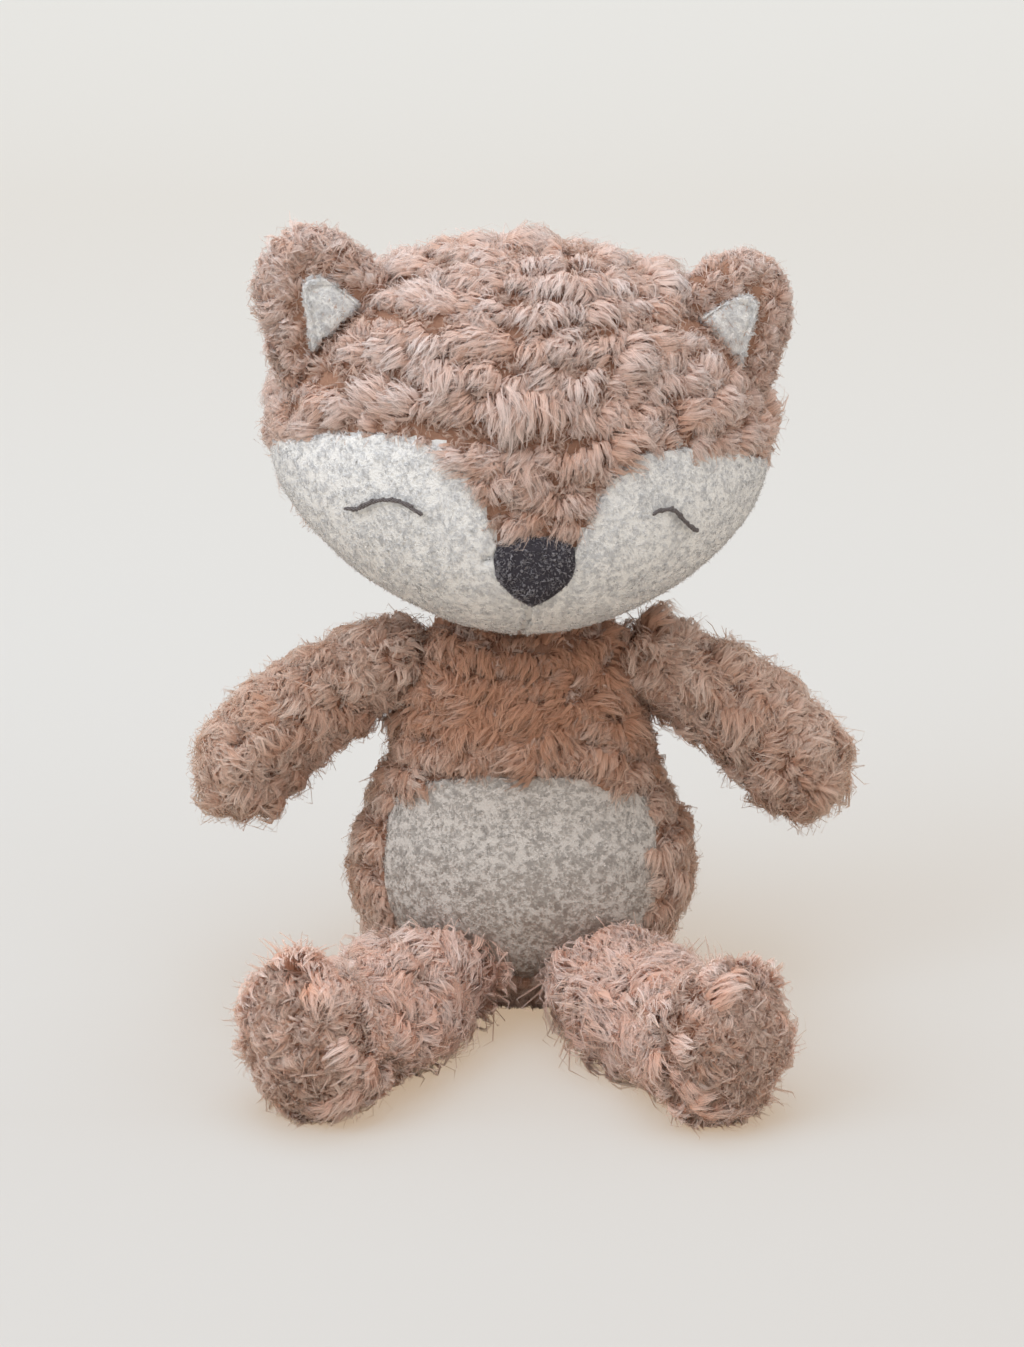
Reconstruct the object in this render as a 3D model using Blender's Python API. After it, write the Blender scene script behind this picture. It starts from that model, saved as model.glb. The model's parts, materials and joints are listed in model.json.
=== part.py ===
"""Sitting plush fox: sewn plush covers over fibre stuffing, with soft joints at the seams.

Metres, +Z up. The fox faces -Y and sits on the origin, at the middle of its flat seat.
Left and right are the fox's own, so its left side is at +X.
Every soft form is a sphere drawn out along an axis, with named widths on its way.
"""

import bpy
import bmesh
from math import cos, pi, radians, sin, sqrt
from mathutils import Vector
from mathutils.bvhtree import BVHTree

# Cloth and fits
CLOTH = 0.0012
CLEARANCE = 0.0003
SEAT_CUT = 0.0005
OVERRUN = 0.2

# Torso, a pear with a flat seat
TORSO_HEIGHT = 0.127
TORSO_SEAT_WIDTH = 0.102
TORSO_WAIST_WIDTH = 0.113
TORSO_CHEST_WIDTH = 0.080
TORSO_NECK_WIDTH = 0.080
TORSO_SEAT_DEPTH = 0.076
TORSO_WAIST_DEPTH = 0.086
TORSO_CHEST_DEPTH = 0.062
TORSO_NECK_DEPTH = 0.044
WAIST_SHARE = 0.34
CHEST_SHARE = 0.66
TORSO_FULLNESS = 0.42
SEAT_PRESS = 0.0025
PELLET_BAG_TOP = 0.036
TAIL_STANDOFF = 0.0040
SHOULDER_STANDOFF = 0.0090
HIP_STANDOFF = 0.0105

# Belly panel, set into the torso's front
BELLY_HALF_WIDTH = 0.043
BELLY_MIDDLE = 0.050
BELLY_HALF_HEIGHT = 0.032
BELLY_POWERS = (2.6, 3.2)

# Neck plug, the centre that the head turns and nods on
NECK_RADIUS = 0.0130
NECK_GAP = 0.0040

# Head, a wide shield with a soft chin
HEAD_HALF_WIDTH = 0.078
HEAD_TOP = 0.063
HEAD_BOTTOM = 0.051
HEAD_CHIN = 0.0600
HEAD_FRONT = 0.056
HEAD_BACK = 0.046
HEAD_SET_BACK = 0.001
HEAD_ASIDE = -0.004
HEAD_POWERS = (2.15, 1.75)
BACK_FULLNESS = 0.72
FACE_FULLNESS = 0.88
MUZZLE_DROP = 0.022
CHIN_SHARES = (0.50, 0.85)
HEAD_YAW = radians(6)
HEAD_ROLL = radians(3.8)
CHEEK_SEAM_BACK = 0.004

# Face
NOSE_HALF_WIDTH = 0.0130
NOSE_TOP = 0.0115
NOSE_TIP = 0.0115
NOSE_MIDDLE = -0.0250
NOSE_THICKNESS = 0.0050
NOSE_POWERS = (4, 1.35)
PAD_FULLNESS = 0.5
THREAD_RADIUS = 0.0007
EYE_HALF_WIDTH = 0.0100
EYE_RISE = 0.0026
EYE_DROP = 0.0040
EYE_OUT = 0.0435
EYE_HEIGHT = -0.0090
EYE_POINTS = 9

# Ears
EAR_HALF_WIDTH = 0.0215
EAR_TOP = 0.0290
EAR_BOTTOM = 0.0300
EAR_THICKNESS = 0.0120
EAR_OUT = 0.0592
EAR_HEIGHT = 0.0390
EAR_BACK = -0.0120
EAR_SPREAD = radians(11)
EAR_POWERS = (2.0, 3.0)
LINING_THICKNESS = 0.0026
LINING_HALF_WIDTH = 0.0135
LINING_TOP = 0.0170
LINING_BOTTOM = 0.0200
LINING_POWERS = (1.6, 2.6)

# Arms
SHOULDER_DROP = 0.0150
SHOULDER_RADIUS = 0.0115
ARM_REACH = 0.0735
ARM_WIDTH = 0.0290
HAND_WIDTH = 0.0310
ARM_FALL = radians(39)
ARM_FORWARD = radians(6)
ARM_BEND = 0.0060
ARM_FULL_SHARE = 0.5
HAND_SHARE = 0.8
HAND_END_SHARE = 0.6

# Legs
HIP_OUT = 0.0250
HIP_RADIUS = 0.0135
LEG_REACH = 0.0860
LEG_WIDTH = 0.0345
FOOT_WIDTH = 0.0410
FOOT_HEIGHT = 0.0520
LEG_SPLAYS = {"left": radians(25), "right": radians(28)}
SOLE_THICKNESS = 0.0070
THIGH_SHARE = 0.28
ANKLE_SHARE = 0.62
FOOT_SHARE = 0.85
SOLE_END_SHARE = 0.45

# Tail
TAIL_ROOT_HEIGHT = 0.0190
TAIL_ROOT_RADIUS = 0.0085
TAIL_REACH = 0.0780
TAIL_WIDTH = 0.0340
TAIL_SWING_REST = radians(12)
TAIL_TIP_LENGTH = 0.0280
TAIL_FULL_SHARE = 0.5
TAIL_TAPER_SHARE = 0.72
TAIL_TAPER_WIDTH_SHARE = 0.9
TAIL_END_WIDTH_SHARE = 0.35
TAIL_END_SHARE = 0.25

# Facets round and along each form
BODY_SEGMENTS = 20
HEAD_SEGMENTS = 24
BODY_RINGS = 13
LIMB_SEGMENTS = 14
LIMB_RINGS = 13
PAD_RINGS = 6
OUTLINE_POINTS = 24

# A ball's facets lie inside its radius by up to this much, so a socket is wider by it
FACET_ROOM = NECK_RADIUS * (1 - cos(pi / LIMB_SEGMENTS))

LEFT, RIGHT = 1, -1
SIDES = {"left": LEFT, "right": RIGHT}


def clear_scene():
    for item in list(bpy.data.objects):
        bpy.data.objects.remove(item, do_unlink=True)


def finish(name, colour, roughness):
    material = bpy.data.materials.new(name)
    material.use_nodes = True
    shader = material.node_tree.nodes["Principled BSDF"]
    shader.inputs["Base Color"].default_value = (*colour, 1)
    shader.inputs["Roughness"].default_value = roughness
    shader.inputs["Metallic"].default_value = 0
    return material


def brown_plush():
    return finish("brown_plush", (0.61, 0.42, 0.35), 0.95)


def white_fleece():
    return finish("white_fleece", (0.78, 0.75, 0.70), 0.95)


def charcoal_boucle():
    return finish("charcoal_boucle", (0.07, 0.065, 0.08), 0.9)


def eye_thread():
    return finish("eye_thread", (0.09, 0.08, 0.085), 0.6)


def fibre_stuffing():
    return finish("fibre_stuffing", (0.85, 0.85, 0.83), 1.0)


def pellet_cloth():
    return finish("pellet_cloth", (0.7, 0.7, 0.68), 0.9)


def smooth_step(share):
    share = min(max(share, 0), 1)
    return share * share * (3 - 2 * share)


def blended(share, stations):
    """A size on its way along a form, eased between (share, size) stations."""
    last_share, last_size = stations[0]
    for next_share, next_size in stations:
        if share <= next_share:
            if next_share == last_share:
                return next_size
            along = (share - last_share) / (next_share - last_share)
            return last_size + (next_size - last_size) * smooth_step(along)
        last_share, last_size = next_share, next_size
    return last_size


def superellipse(direction, half_width, top, bottom, top_power, bottom_power):
    """The point of a superellipse outline that lies in a direction from its middle."""
    across, up = direction
    half_height, power = (top, top_power) if up >= 0 else (bottom, bottom_power)
    size = (abs(across) ** power + abs(up) ** power) ** (1 / power)
    return half_width * across / size, half_height * up / size


def drawn_form(name, segments, rings, shape):
    """A unit sphere whose every point is moved to shape(share, swell, direction).

    share runs from 0 to 1 along the form's axis, swell is 0 at the poles and 1 at
    the middle, and direction is the unit direction round the axis.
    """
    mesh = bpy.data.meshes.new(name)
    bm = bmesh.new()
    bmesh.ops.create_uvsphere(bm, u_segments=segments, v_segments=rings, radius=1)
    for vert in bm.verts:
        swell = sqrt(vert.co.x ** 2 + vert.co.y ** 2)
        direction = (vert.co.x / swell, vert.co.y / swell) if swell > 1e-6 else (1, 0)
        swell = swell if swell > 1e-6 else 0
        vert.co = shape((1 + vert.co.z) / 2, swell, direction)
    bm.to_mesh(mesh)
    bm.free()
    mesh.shade_smooth()
    return mesh


def open_root(mesh):
    """A copy of a form's mesh without the fan of faces round its first pole."""
    opened = mesh.copy()
    bm = bmesh.new()
    bm.from_mesh(opened)
    bm.verts.ensure_lookup_table()
    fans = [vert for vert in bm.verts if len(vert.link_faces) > 4]
    root = min(fans, key=lambda vert: vert.index)
    bmesh.ops.delete(bm, geom=[root], context="VERTS")
    bm.to_mesh(opened)
    bm.free()
    return opened


def place(name, data, parent=None, location=(0, 0, 0), rotation=None, material=None):
    item = bpy.data.objects.new(name, data)
    bpy.context.collection.objects.link(item)
    item.parent = parent
    item.location = location
    if rotation is not None:
        item.rotation_euler = rotation
    if material is not None:
        data.materials.clear()
        data.materials.append(material)
    return item


def guide(name, data, parent=None, location=(0, 0, 0), rotation=None):
    """A cutter, which shapes other pieces and isn't one itself."""
    item = place(name, data, parent, location, rotation)
    item.hide_render = True
    item.display_type = "WIRE"
    return item


def shell(item):
    wall = item.modifiers.new("cloth", "SOLIDIFY")
    wall.thickness = CLOTH
    wall.offset = -1
    return item


def offset(item, distance):
    """Move a form's whole surface outwards by a distance."""
    move = item.modifiers.new("offset", "DISPLACE")
    move.strength = distance
    move.mid_level = 0
    return item


def cut(item, cutter, operation="DIFFERENCE"):
    boolean = item.modifiers.new(cutter.name, "BOOLEAN")
    boolean.operation = operation
    boolean.object = cutter
    return item


def keep_inside(item, cutter):
    return cut(item, cutter, "INTERSECT")


def widened(outline, distance):
    """An outline moved outwards by a distance, point by point. It runs anticlockwise."""
    moved = []
    for index, point in enumerate(outline):
        before = Vector(outline[index - 1])
        after = Vector(outline[(index + 1) % len(outline)])
        along = (after - before).normalized()
        moved.append((point[0] + along.y * distance, point[1] - along.x * distance))
    return moved


def prism(name, outline, front, back, parent=None, location=(0, 0, 0)):
    """A guide of an outline in X and Z, drawn from the front to the back along Y."""
    mesh = bpy.data.meshes.new(name)
    bm = bmesh.new()
    face = bm.faces.new([bm.verts.new((x, front, z)) for x, z in outline])
    made = bmesh.ops.extrude_face_region(bm, geom=[face])
    pushed = [item for item in made["geom"] if isinstance(item, bmesh.types.BMVert)]
    bmesh.ops.translate(bm, verts=pushed, vec=(0, back - front, 0))
    bmesh.ops.recalc_face_normals(bm, faces=bm.faces)
    bm.to_mesh(mesh)
    bm.free()
    return guide(name, mesh, parent, location)


def box(name, low, high, parent=None, location=(0, 0, 0), rotation=None):
    """A guide block between two corners."""
    low, high = Vector(low), Vector(high)
    mesh = bpy.data.meshes.new(name)
    bm = bmesh.new()
    bmesh.ops.create_cube(bm, size=1)
    bmesh.ops.scale(bm, vec=high - low, verts=bm.verts)
    bmesh.ops.translate(bm, vec=(low + high) / 2, verts=bm.verts)
    bm.to_mesh(mesh)
    bm.free()
    return guide(name, mesh, parent, location, rotation)


def ball_mesh(name, radius):
    return drawn_form(
        name, LIMB_SEGMENTS, LIMB_RINGS,
        lambda share, swell, way: Vector(
            (way[0] * swell * radius, way[1] * swell * radius, (2 * share - 1) * radius)
        ),
    )


def socket(name, centre, radius):
    """A guide ball that leaves a limb's round root its clearance."""
    return guide(name, ball_mesh(name, radius + FACET_ROOM + CLEARANCE), location=centre)


def floor_guide():
    """Everything below the surface that the fox sits on."""
    return box("floor_guide", (-OVERRUN, -OVERRUN, -OVERRUN), (OVERRUN, OVERRUN, 0))


def torso_half_sizes(share, swell):
    """Half the torso's width and depth where share of its height is below."""
    widths = [(0, TORSO_SEAT_WIDTH), (WAIST_SHARE, TORSO_WAIST_WIDTH),
              (CHEST_SHARE, TORSO_CHEST_WIDTH), (1, TORSO_NECK_WIDTH)]
    depths = [(0, TORSO_SEAT_DEPTH), (WAIST_SHARE, TORSO_WAIST_DEPTH),
              (CHEST_SHARE, TORSO_CHEST_DEPTH), (1, TORSO_NECK_DEPTH)]
    reach = swell ** TORSO_FULLNESS / 2
    return reach * blended(share, widths), reach * blended(share, depths)


def torso_half_sizes_at(height):
    """Half the torso's width and depth at a height above the floor."""
    share = (height + SEAT_CUT + SEAT_PRESS) / (TORSO_HEIGHT + SEAT_PRESS)
    return torso_half_sizes(share, 2 * sqrt(share * (1 - share)))


def neck_centre():
    return Vector((0, 0, TORSO_HEIGHT - SEAT_CUT + NECK_GAP / 2))


def tail_centre():
    _, half_depth = torso_half_sizes_at(TAIL_ROOT_HEIGHT)
    return Vector((0, half_depth + TAIL_STANDOFF, TAIL_ROOT_HEIGHT))


def shoulder_centre(side):
    height = TORSO_HEIGHT - SHOULDER_DROP
    half_width, _ = torso_half_sizes_at(height)
    return Vector((side * (half_width + SHOULDER_STANDOFF), 0, height))


def leg_direction(side_name):
    splay = LEG_SPLAYS[side_name]
    return Vector((SIDES[side_name] * sin(splay), -cos(splay), 0))


def hip_centre(side_name):
    """In front of the torso, as high as the middle of the thigh that lies on the floor."""
    height = LEG_WIDTH / 2
    half_width, half_depth = torso_half_sizes_at(height)
    front = -half_depth * sqrt(1 - (HIP_OUT / half_width) ** 2)
    on_torso = Vector((SIDES[side_name] * HIP_OUT, front, height))
    return on_torso + leg_direction(side_name) * HIP_STANDOFF


def torso_mesh():
    """The pear, whose lowest stretch is pressed flat by the toy's weight."""
    def shape(share, swell, way):
        half_width, half_depth = torso_half_sizes(share, swell)
        free = share * (TORSO_HEIGHT + SEAT_PRESS) - SEAT_PRESS
        return Vector((way[0] * half_width, way[1] * half_depth, max(free, 0) - SEAT_CUT))

    return drawn_form("torso_form", BODY_SEGMENTS, BODY_RINGS, shape)


def belly_outline():
    points = []
    for index in range(OUTLINE_POINTS):
        turn = 2 * pi * index / OUTLINE_POINTS
        x, z = superellipse(
            (cos(turn), sin(turn)), BELLY_HALF_WIDTH, BELLY_HALF_HEIGHT, BELLY_HALF_HEIGHT,
            *BELLY_POWERS,
        )
        points.append((x, z + BELLY_MIDDLE))
    return points


def make_torso(plush, fleece, stuffing, pellets):
    form = torso_mesh()
    floor = floor_guide()
    sockets = [socket("neck_socket", neck_centre(), NECK_RADIUS),
               socket("tail_socket", tail_centre(), TAIL_ROOT_RADIUS)]
    for side_name, side in SIDES.items():
        sockets.append(socket("shoulder_socket_" + side_name, shoulder_centre(side), SHOULDER_RADIUS))
        sockets.append(socket("hip_socket_" + side_name, hip_centre(side_name), HIP_RADIUS))

    outline = belly_outline()
    belly_guide = prism("belly_guide", outline, -OVERRUN, 0)
    belly_window = prism("belly_window", widened(outline, CLEARANCE), -OVERRUN, 0)

    cover = shell(place("torso_cover", form, material=plush))
    belly = shell(place("belly_panel", form.copy(), material=fleece))
    for piece in (cover, belly):
        cut(piece, floor)
    for guide_ball in sockets:
        cut(cover, guide_ball)
        if guide_ball.name.startswith("hip"):
            cut(belly, guide_ball)
    cut(cover, belly_window)
    keep_inside(belly, belly_guide)

    inner = -(CLOTH + CLEARANCE)
    bag_guide = box("bag_guide", (-OVERRUN, -OVERRUN, -OVERRUN), (OVERRUN, OVERRUN, PELLET_BAG_TOP))
    filling_guide = box(
        "filling_guide", (-OVERRUN, -OVERRUN, -OVERRUN),
        (OVERRUN, OVERRUN, PELLET_BAG_TOP + CLEARANCE),
    )
    bag = offset(place("pellet_bag", form.copy(), material=pellets), inner)
    keep_inside(bag, bag_guide)
    filling = offset(place("torso_filling", form.copy(), material=stuffing), inner)
    cut(filling, filling_guide)
    for guide_ball in sockets:
        low = guide_ball.location.z < PELLET_BAG_TOP
        cut(bag if low else filling, guide_ball)
    return sockets


def make_neck(stuffing):
    place("neck_filling", ball_mesh("neck_filling", NECK_RADIUS), location=neck_centre(),
          material=stuffing)


def head_shape(share, swell, way):
    """The head's form, from its back at share 0 to its muzzle at share 1, round its own middle."""
    reach = swell ** blended(share, [(0, BACK_FULLNESS), (1, FACE_FULLNESS)])
    nape_share, chin_share = CHIN_SHARES
    bottom = blended(share, [(nape_share, HEAD_BOTTOM), (chin_share, HEAD_CHIN)])
    x, z = superellipse(way, HEAD_HALF_WIDTH, HEAD_TOP, bottom, *HEAD_POWERS)
    depth = HEAD_FRONT if share > 0.5 else HEAD_BACK
    ahead = 2 * share - 1
    drop = MUZZLE_DROP * max(ahead, 0) ** 2
    return Vector((x * reach, -ahead * depth, z * reach - drop * (1 - reach)))


def white_outline(side, gap):
    """The edge of one white cheek as the face shows it, from the chin up round the bridge."""
    half_width_shares = [0.0, 1.2, 1.2, 0.97, 0.80, 0.55, 0.38, 0.27, 0.205, 0.125, 0.0]
    half_height_shares = [-1.4, -1.4, -0.06, 0.05, 0.20, 0.26, 0.22, 0.10, -0.10, -0.39, -0.41]
    points = []
    for across, up in zip(half_width_shares, half_height_shares):
        points.append((side * max(across * HEAD_HALF_WIDTH, gap), up * HEAD_BOTTOM))
    return points if side > 0 else points[::-1]


def face_surface(form):
    """A finder of the place and the outward direction on the face in front of (x, z)."""
    bm = bmesh.new()
    bm.from_mesh(form)
    tree = BVHTree.FromBMesh(bm)
    bm.free()

    def find(x, z):
        spot, outwards, _, _ = tree.ray_cast(Vector((x, -OVERRUN, z)), Vector((0, 1, 0)))
        return spot, outwards

    return find


def make_eye(side_name, side, find, head, middle, material):
    """A closed eye: one raised line of thread, arched, and a little lower at its +X end."""
    curve = bpy.data.curves.new("eye_stitch_" + side_name, "CURVE")
    curve.dimensions = "3D"
    curve.bevel_depth = THREAD_RADIUS
    curve.bevel_resolution = 1
    curve.use_fill_caps = True
    line = curve.splines.new("POLY")
    line.points.add(EYE_POINTS - 1)
    for index in range(EYE_POINTS):
        way = 2 * index / (EYE_POINTS - 1) - 1
        x = side * EYE_OUT + way * EYE_HALF_WIDTH
        z = EYE_HEIGHT + EYE_RISE * (1 - way * way) - EYE_DROP * max(way, 0) ** 2
        spot, outwards = find(x, z)
        spot = spot + outwards * (THREAD_RADIUS + CLEARANCE)
        line.points[index].co = (*spot, 1)
    place("eye_stitch_" + side_name, curve, head, middle, material=material)


def pillow(name, half_width, top, bottom, powers, half_depth):
    """A padded piece with a superellipse outline in X and Z, crowned to the front and back."""
    def shape(share, swell, way):
        x, z = superellipse(way, half_width, top, bottom, *powers)
        reach = swell ** PAD_FULLNESS
        return Vector((x * reach, -(2 * share - 1) * half_depth, z * reach))

    return drawn_form(name, LIMB_SEGMENTS, PAD_RINGS, shape)


def make_ear(side_name, side, head, middle, head_guide, plush, fleece):
    """A padded, round-tipped ear that stands on the crown, with a white lining in its front."""
    centre = middle + Vector((side * EAR_OUT, EAR_BACK, EAR_HEIGHT))
    tilt = (0, side * EAR_SPREAD, 0)
    body = pillow("ear_form_" + side_name, EAR_HALF_WIDTH, EAR_TOP, EAR_BOTTOM, EAR_POWERS,
                  EAR_THICKNESS / 2)
    ear = place("ear_cover_" + side_name, body, head, centre, tilt, plush)
    cut(ear, head_guide)
    ear_guide = offset(guide("ear_guide_" + side_name, body.copy(), head, centre, tilt), CLEARANCE)
    panel = pillow("ear_lining_form_" + side_name, LINING_HALF_WIDTH, LINING_TOP, LINING_BOTTOM,
                   LINING_POWERS, EAR_THICKNESS / 2 + LINING_THICKNESS)
    lining = place("ear_lining_" + side_name, panel, head, centre, tilt, fleece)
    keep_inside(lining, box(
        "ear_front_" + side_name, (-OVERRUN, -OVERRUN, -OVERRUN), (OVERRUN, 0, OVERRUN),
        head, centre, tilt,
    ))
    cut(lining, ear_guide)
    cut(lining, head_guide)


def make_head(neck_socket, plush, fleece, boucle, thread, stuffing):
    """The head in its own frame, whose empty on the neck's centre turns it as it sits."""
    head = bpy.data.objects.new("head_pivot", None)
    bpy.context.collection.objects.link(head)
    head.location = neck_centre()
    head.rotation_euler = (0, HEAD_ROLL, HEAD_YAW)
    middle = Vector((HEAD_ASIDE, HEAD_SET_BACK, NECK_GAP / 2 + HEAD_BOTTOM))

    form = drawn_form("head_form", HEAD_SEGMENTS, BODY_RINGS, head_shape)
    head_guide = offset(guide("head_guide", form.copy(), head, middle), CLEARANCE)

    cover = shell(place("head_cover", form, head, middle, material=plush))
    cut(cover, neck_socket)
    for side_name, side in SIDES.items():
        outline = white_outline(side, CLEARANCE / 2)
        front, back = -OVERRUN, CHEEK_SEAM_BACK
        panel_guide = prism("cheek_guide_" + side_name, outline, front, back, head, middle)
        cheek = shell(place("cheek_panel_" + side_name, form.copy(), head, middle, material=fleece))
        keep_inside(cheek, panel_guide)
        cut(cheek, neck_socket)
    both = white_outline(LEFT, 0)[1:-1] + white_outline(RIGHT, 0)[1:-1]
    window = prism(
        "cheek_window", widened(both, CLEARANCE), -OVERRUN, CHEEK_SEAM_BACK + CLEARANCE, head, middle
    )
    cut(cover, window)

    filling = offset(place("head_filling", form.copy(), head, middle, material=stuffing),
                     -(CLOTH + CLEARANCE))
    cut(filling, neck_socket)

    find = face_surface(form)
    spot, _ = find(0, NOSE_MIDDLE)
    pad = pillow("nose_pad", NOSE_HALF_WIDTH, NOSE_TOP, NOSE_TIP, NOSE_POWERS, NOSE_THICKNESS)
    nose = place("nose_pad", pad, head, middle + spot, material=boucle)
    cut(nose, head_guide)
    for side_name, side in SIDES.items():
        make_eye(side_name, side, find, head, middle, thread)
        make_ear(side_name, side, head, middle, head_guide, plush, fleece)


def limb_shape(radius, reach, widths, heights, frame, bend, end_length):
    """A limb: a round root on its joint, then a swelling tube with a round end.

    frame holds its directions across, up and along; reach runs from the joint to the end.
    """
    across, up, along = frame
    length = radius + reach

    def shape(share, swell, way):
        distance = share * length
        past = distance - radius
        if past <= 0:
            half_width = half_height = sqrt(max(radius ** 2 - past ** 2, 0))
        else:
            grown = past / reach
            left = length - distance
            close = sqrt(max(1 - (1 - min(left / end_length, 1)) ** 2, 0))
            half_width = blended(grown, widths) / 2 * close
            half_height = blended(grown, heights) / 2 * close
        sway = bend * sin(pi * min(max(past / reach, 0), 1))
        return along * past + sway + across * way[0] * half_width + up * way[1] * half_height

    return shape


def frame_along(along, up):
    across = up.cross(along).normalized()
    return across, along.cross(across), along


def make_arm(side_name, side, plush, stuffing):
    along = Vector((side * cos(ARM_FALL), -sin(ARM_FORWARD), -sin(ARM_FALL))).normalized()
    frame = frame_along(along, Vector((0, 0, 1)))
    widths = [(0, SHOULDER_RADIUS * 2), (ARM_FULL_SHARE, ARM_WIDTH), (HAND_SHARE, HAND_WIDTH)]
    shape = limb_shape(SHOULDER_RADIUS, ARM_REACH, widths, widths, frame,
                       frame[1] * ARM_BEND, HAND_WIDTH * HAND_END_SHARE)
    form = drawn_form("arm_form_" + side_name, LIMB_SEGMENTS, LIMB_RINGS, shape)
    centre = shoulder_centre(side)
    shell(place("arm_cover_" + side_name, open_root(form), location=centre, material=plush))
    offset(place("arm_filling_" + side_name, form, location=centre, material=stuffing),
           -(CLOTH + CLEARANCE))


def make_leg(side_name, side, plush, stuffing, floor):
    frame = frame_along(leg_direction(side_name), Vector((0, 0, 1)))
    thigh = [(0, HIP_RADIUS * 2), (THIGH_SHARE, LEG_WIDTH), (ANKLE_SHARE, LEG_WIDTH)]
    widths = thigh + [(FOOT_SHARE, FOOT_WIDTH)]
    heights = thigh + [(FOOT_SHARE, FOOT_HEIGHT)]
    tube = limb_shape(HIP_RADIUS, LEG_REACH, widths, heights, frame, Vector(),
                      FOOT_WIDTH * SOLE_END_SHARE)
    length = HIP_RADIUS + LEG_REACH
    centre = hip_centre(side_name)

    def shape(share, swell, way):
        """The tube, raised where it is taller so that its underside stays on the floor."""
        point = tube(share, swell, way)
        grown = max(share * length - HIP_RADIUS, 0) / LEG_REACH
        raised = max(blended(grown, heights) - LEG_WIDTH, 0) / 2
        point.z += raised - SEAT_CUT * smooth_step(grown / THIGH_SHARE)
        return point

    form = drawn_form("leg_form_" + side_name, LIMB_SEGMENTS, LIMB_RINGS, shape)
    turn = (0, 0, side * LEG_SPLAYS[side_name])
    sole_guide = box("sole_guide_" + side_name, (-OVERRUN, -OVERRUN, -OVERRUN),
                     (OVERRUN, SOLE_THICKNESS - LEG_REACH, OVERRUN), None, centre, turn)
    sole_window = box("sole_window_" + side_name, (-OVERRUN, -OVERRUN, -OVERRUN),
                      (OVERRUN, SOLE_THICKNESS - LEG_REACH + CLEARANCE, OVERRUN), None, centre, turn)
    cover = shell(place("leg_cover_" + side_name, open_root(form), location=centre, material=plush))
    cut(cover, floor)
    cut(cover, sole_window)
    sole = shell(place("sole_panel_" + side_name, open_root(form), location=centre, material=plush))
    cut(sole, floor)
    keep_inside(sole, sole_guide)
    offset(place("leg_filling_" + side_name, form, location=centre, material=stuffing),
           -(CLOTH + CLEARANCE))


def make_tail(plush, fleece, stuffing, floor):
    along = Vector((sin(TAIL_SWING_REST), cos(TAIL_SWING_REST), 0))
    frame = frame_along(along, Vector((0, 0, 1)))
    widths = [(0, TAIL_ROOT_RADIUS * 2), (TAIL_FULL_SHARE, TAIL_WIDTH),
              (TAIL_TAPER_SHARE, TAIL_WIDTH * TAIL_TAPER_WIDTH_SHARE),
              (1, TAIL_WIDTH * TAIL_END_WIDTH_SHARE)]
    tube = limb_shape(TAIL_ROOT_RADIUS, TAIL_REACH, widths, widths, frame, Vector(),
                      TAIL_WIDTH * TAIL_END_SHARE)
    centre = tail_centre()
    drop = centre.z - TAIL_WIDTH / 2 + SEAT_CUT

    def shape(share, swell, way):
        """The tube, let down so that its fullest part lies on the floor."""
        point = tube(share, swell, way)
        grown = max(point.dot(along), 0) / TAIL_REACH
        point.z -= drop * smooth_step(grown / TAIL_FULL_SHARE)
        return point

    form = drawn_form("tail_form", LIMB_SEGMENTS, LIMB_RINGS, shape)
    turn = (0, 0, -TAIL_SWING_REST)
    start = TAIL_REACH - TAIL_TIP_LENGTH
    tip_guide = box("tip_guide", (-OVERRUN, start + CLEARANCE, -OVERRUN),
                    (OVERRUN, OVERRUN, OVERRUN), None, centre, turn)
    tip_window = box("tip_window", (-OVERRUN, start, -OVERRUN),
                     (OVERRUN, OVERRUN, OVERRUN), None, centre, turn)
    cover = shell(place("tail_cover", open_root(form), location=centre, material=plush))
    cut(cover, floor)
    cut(cover, tip_window)
    tip = shell(place("tail_tip", open_root(form), location=centre, material=fleece))
    cut(tip, floor)
    keep_inside(tip, tip_guide)
    offset(place("tail_filling", form, location=centre, material=stuffing),
           -(CLOTH + CLEARANCE))


def main():
    clear_scene()
    plush, fleece = brown_plush(), white_fleece()
    boucle, thread = charcoal_boucle(), eye_thread()
    stuffing, pellets = fibre_stuffing(), pellet_cloth()
    sockets = make_torso(plush, fleece, stuffing, pellets)
    floor = bpy.data.objects["floor_guide"]
    make_neck(stuffing)
    make_head(sockets[0], plush, fleece, boucle, thread, stuffing)
    for side_name, side in SIDES.items():
        make_arm(side_name, side, plush, stuffing)
        make_leg(side_name, side, plush, stuffing, floor)
    make_tail(plush, fleece, stuffing, floor)


main()
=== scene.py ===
# %% [markdown]
# # A sitting plush fox
# The toy is a set of sewn covers over stuffing. The covers are a shaggy pink-brown plush, woven in
# rows, and a short white fleece on the face, the belly and inside the ears. The nose is a small pad
# of charcoal boucle, and the closed eyes are sewn with one line of thread.
#
# The measured model of solids is loaded first and never changed. Everything that shows is built
# round it: a smooth skin for each stuffed part, and the pile that stands on the skin.

# %% Load the measured model as a fixed frame
import json
import math
import random

import bmesh
import bpy
import numpy as np
from mathutils import Euler, Matrix, Vector, noise
from mathutils.bvhtree import BVHTree


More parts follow.
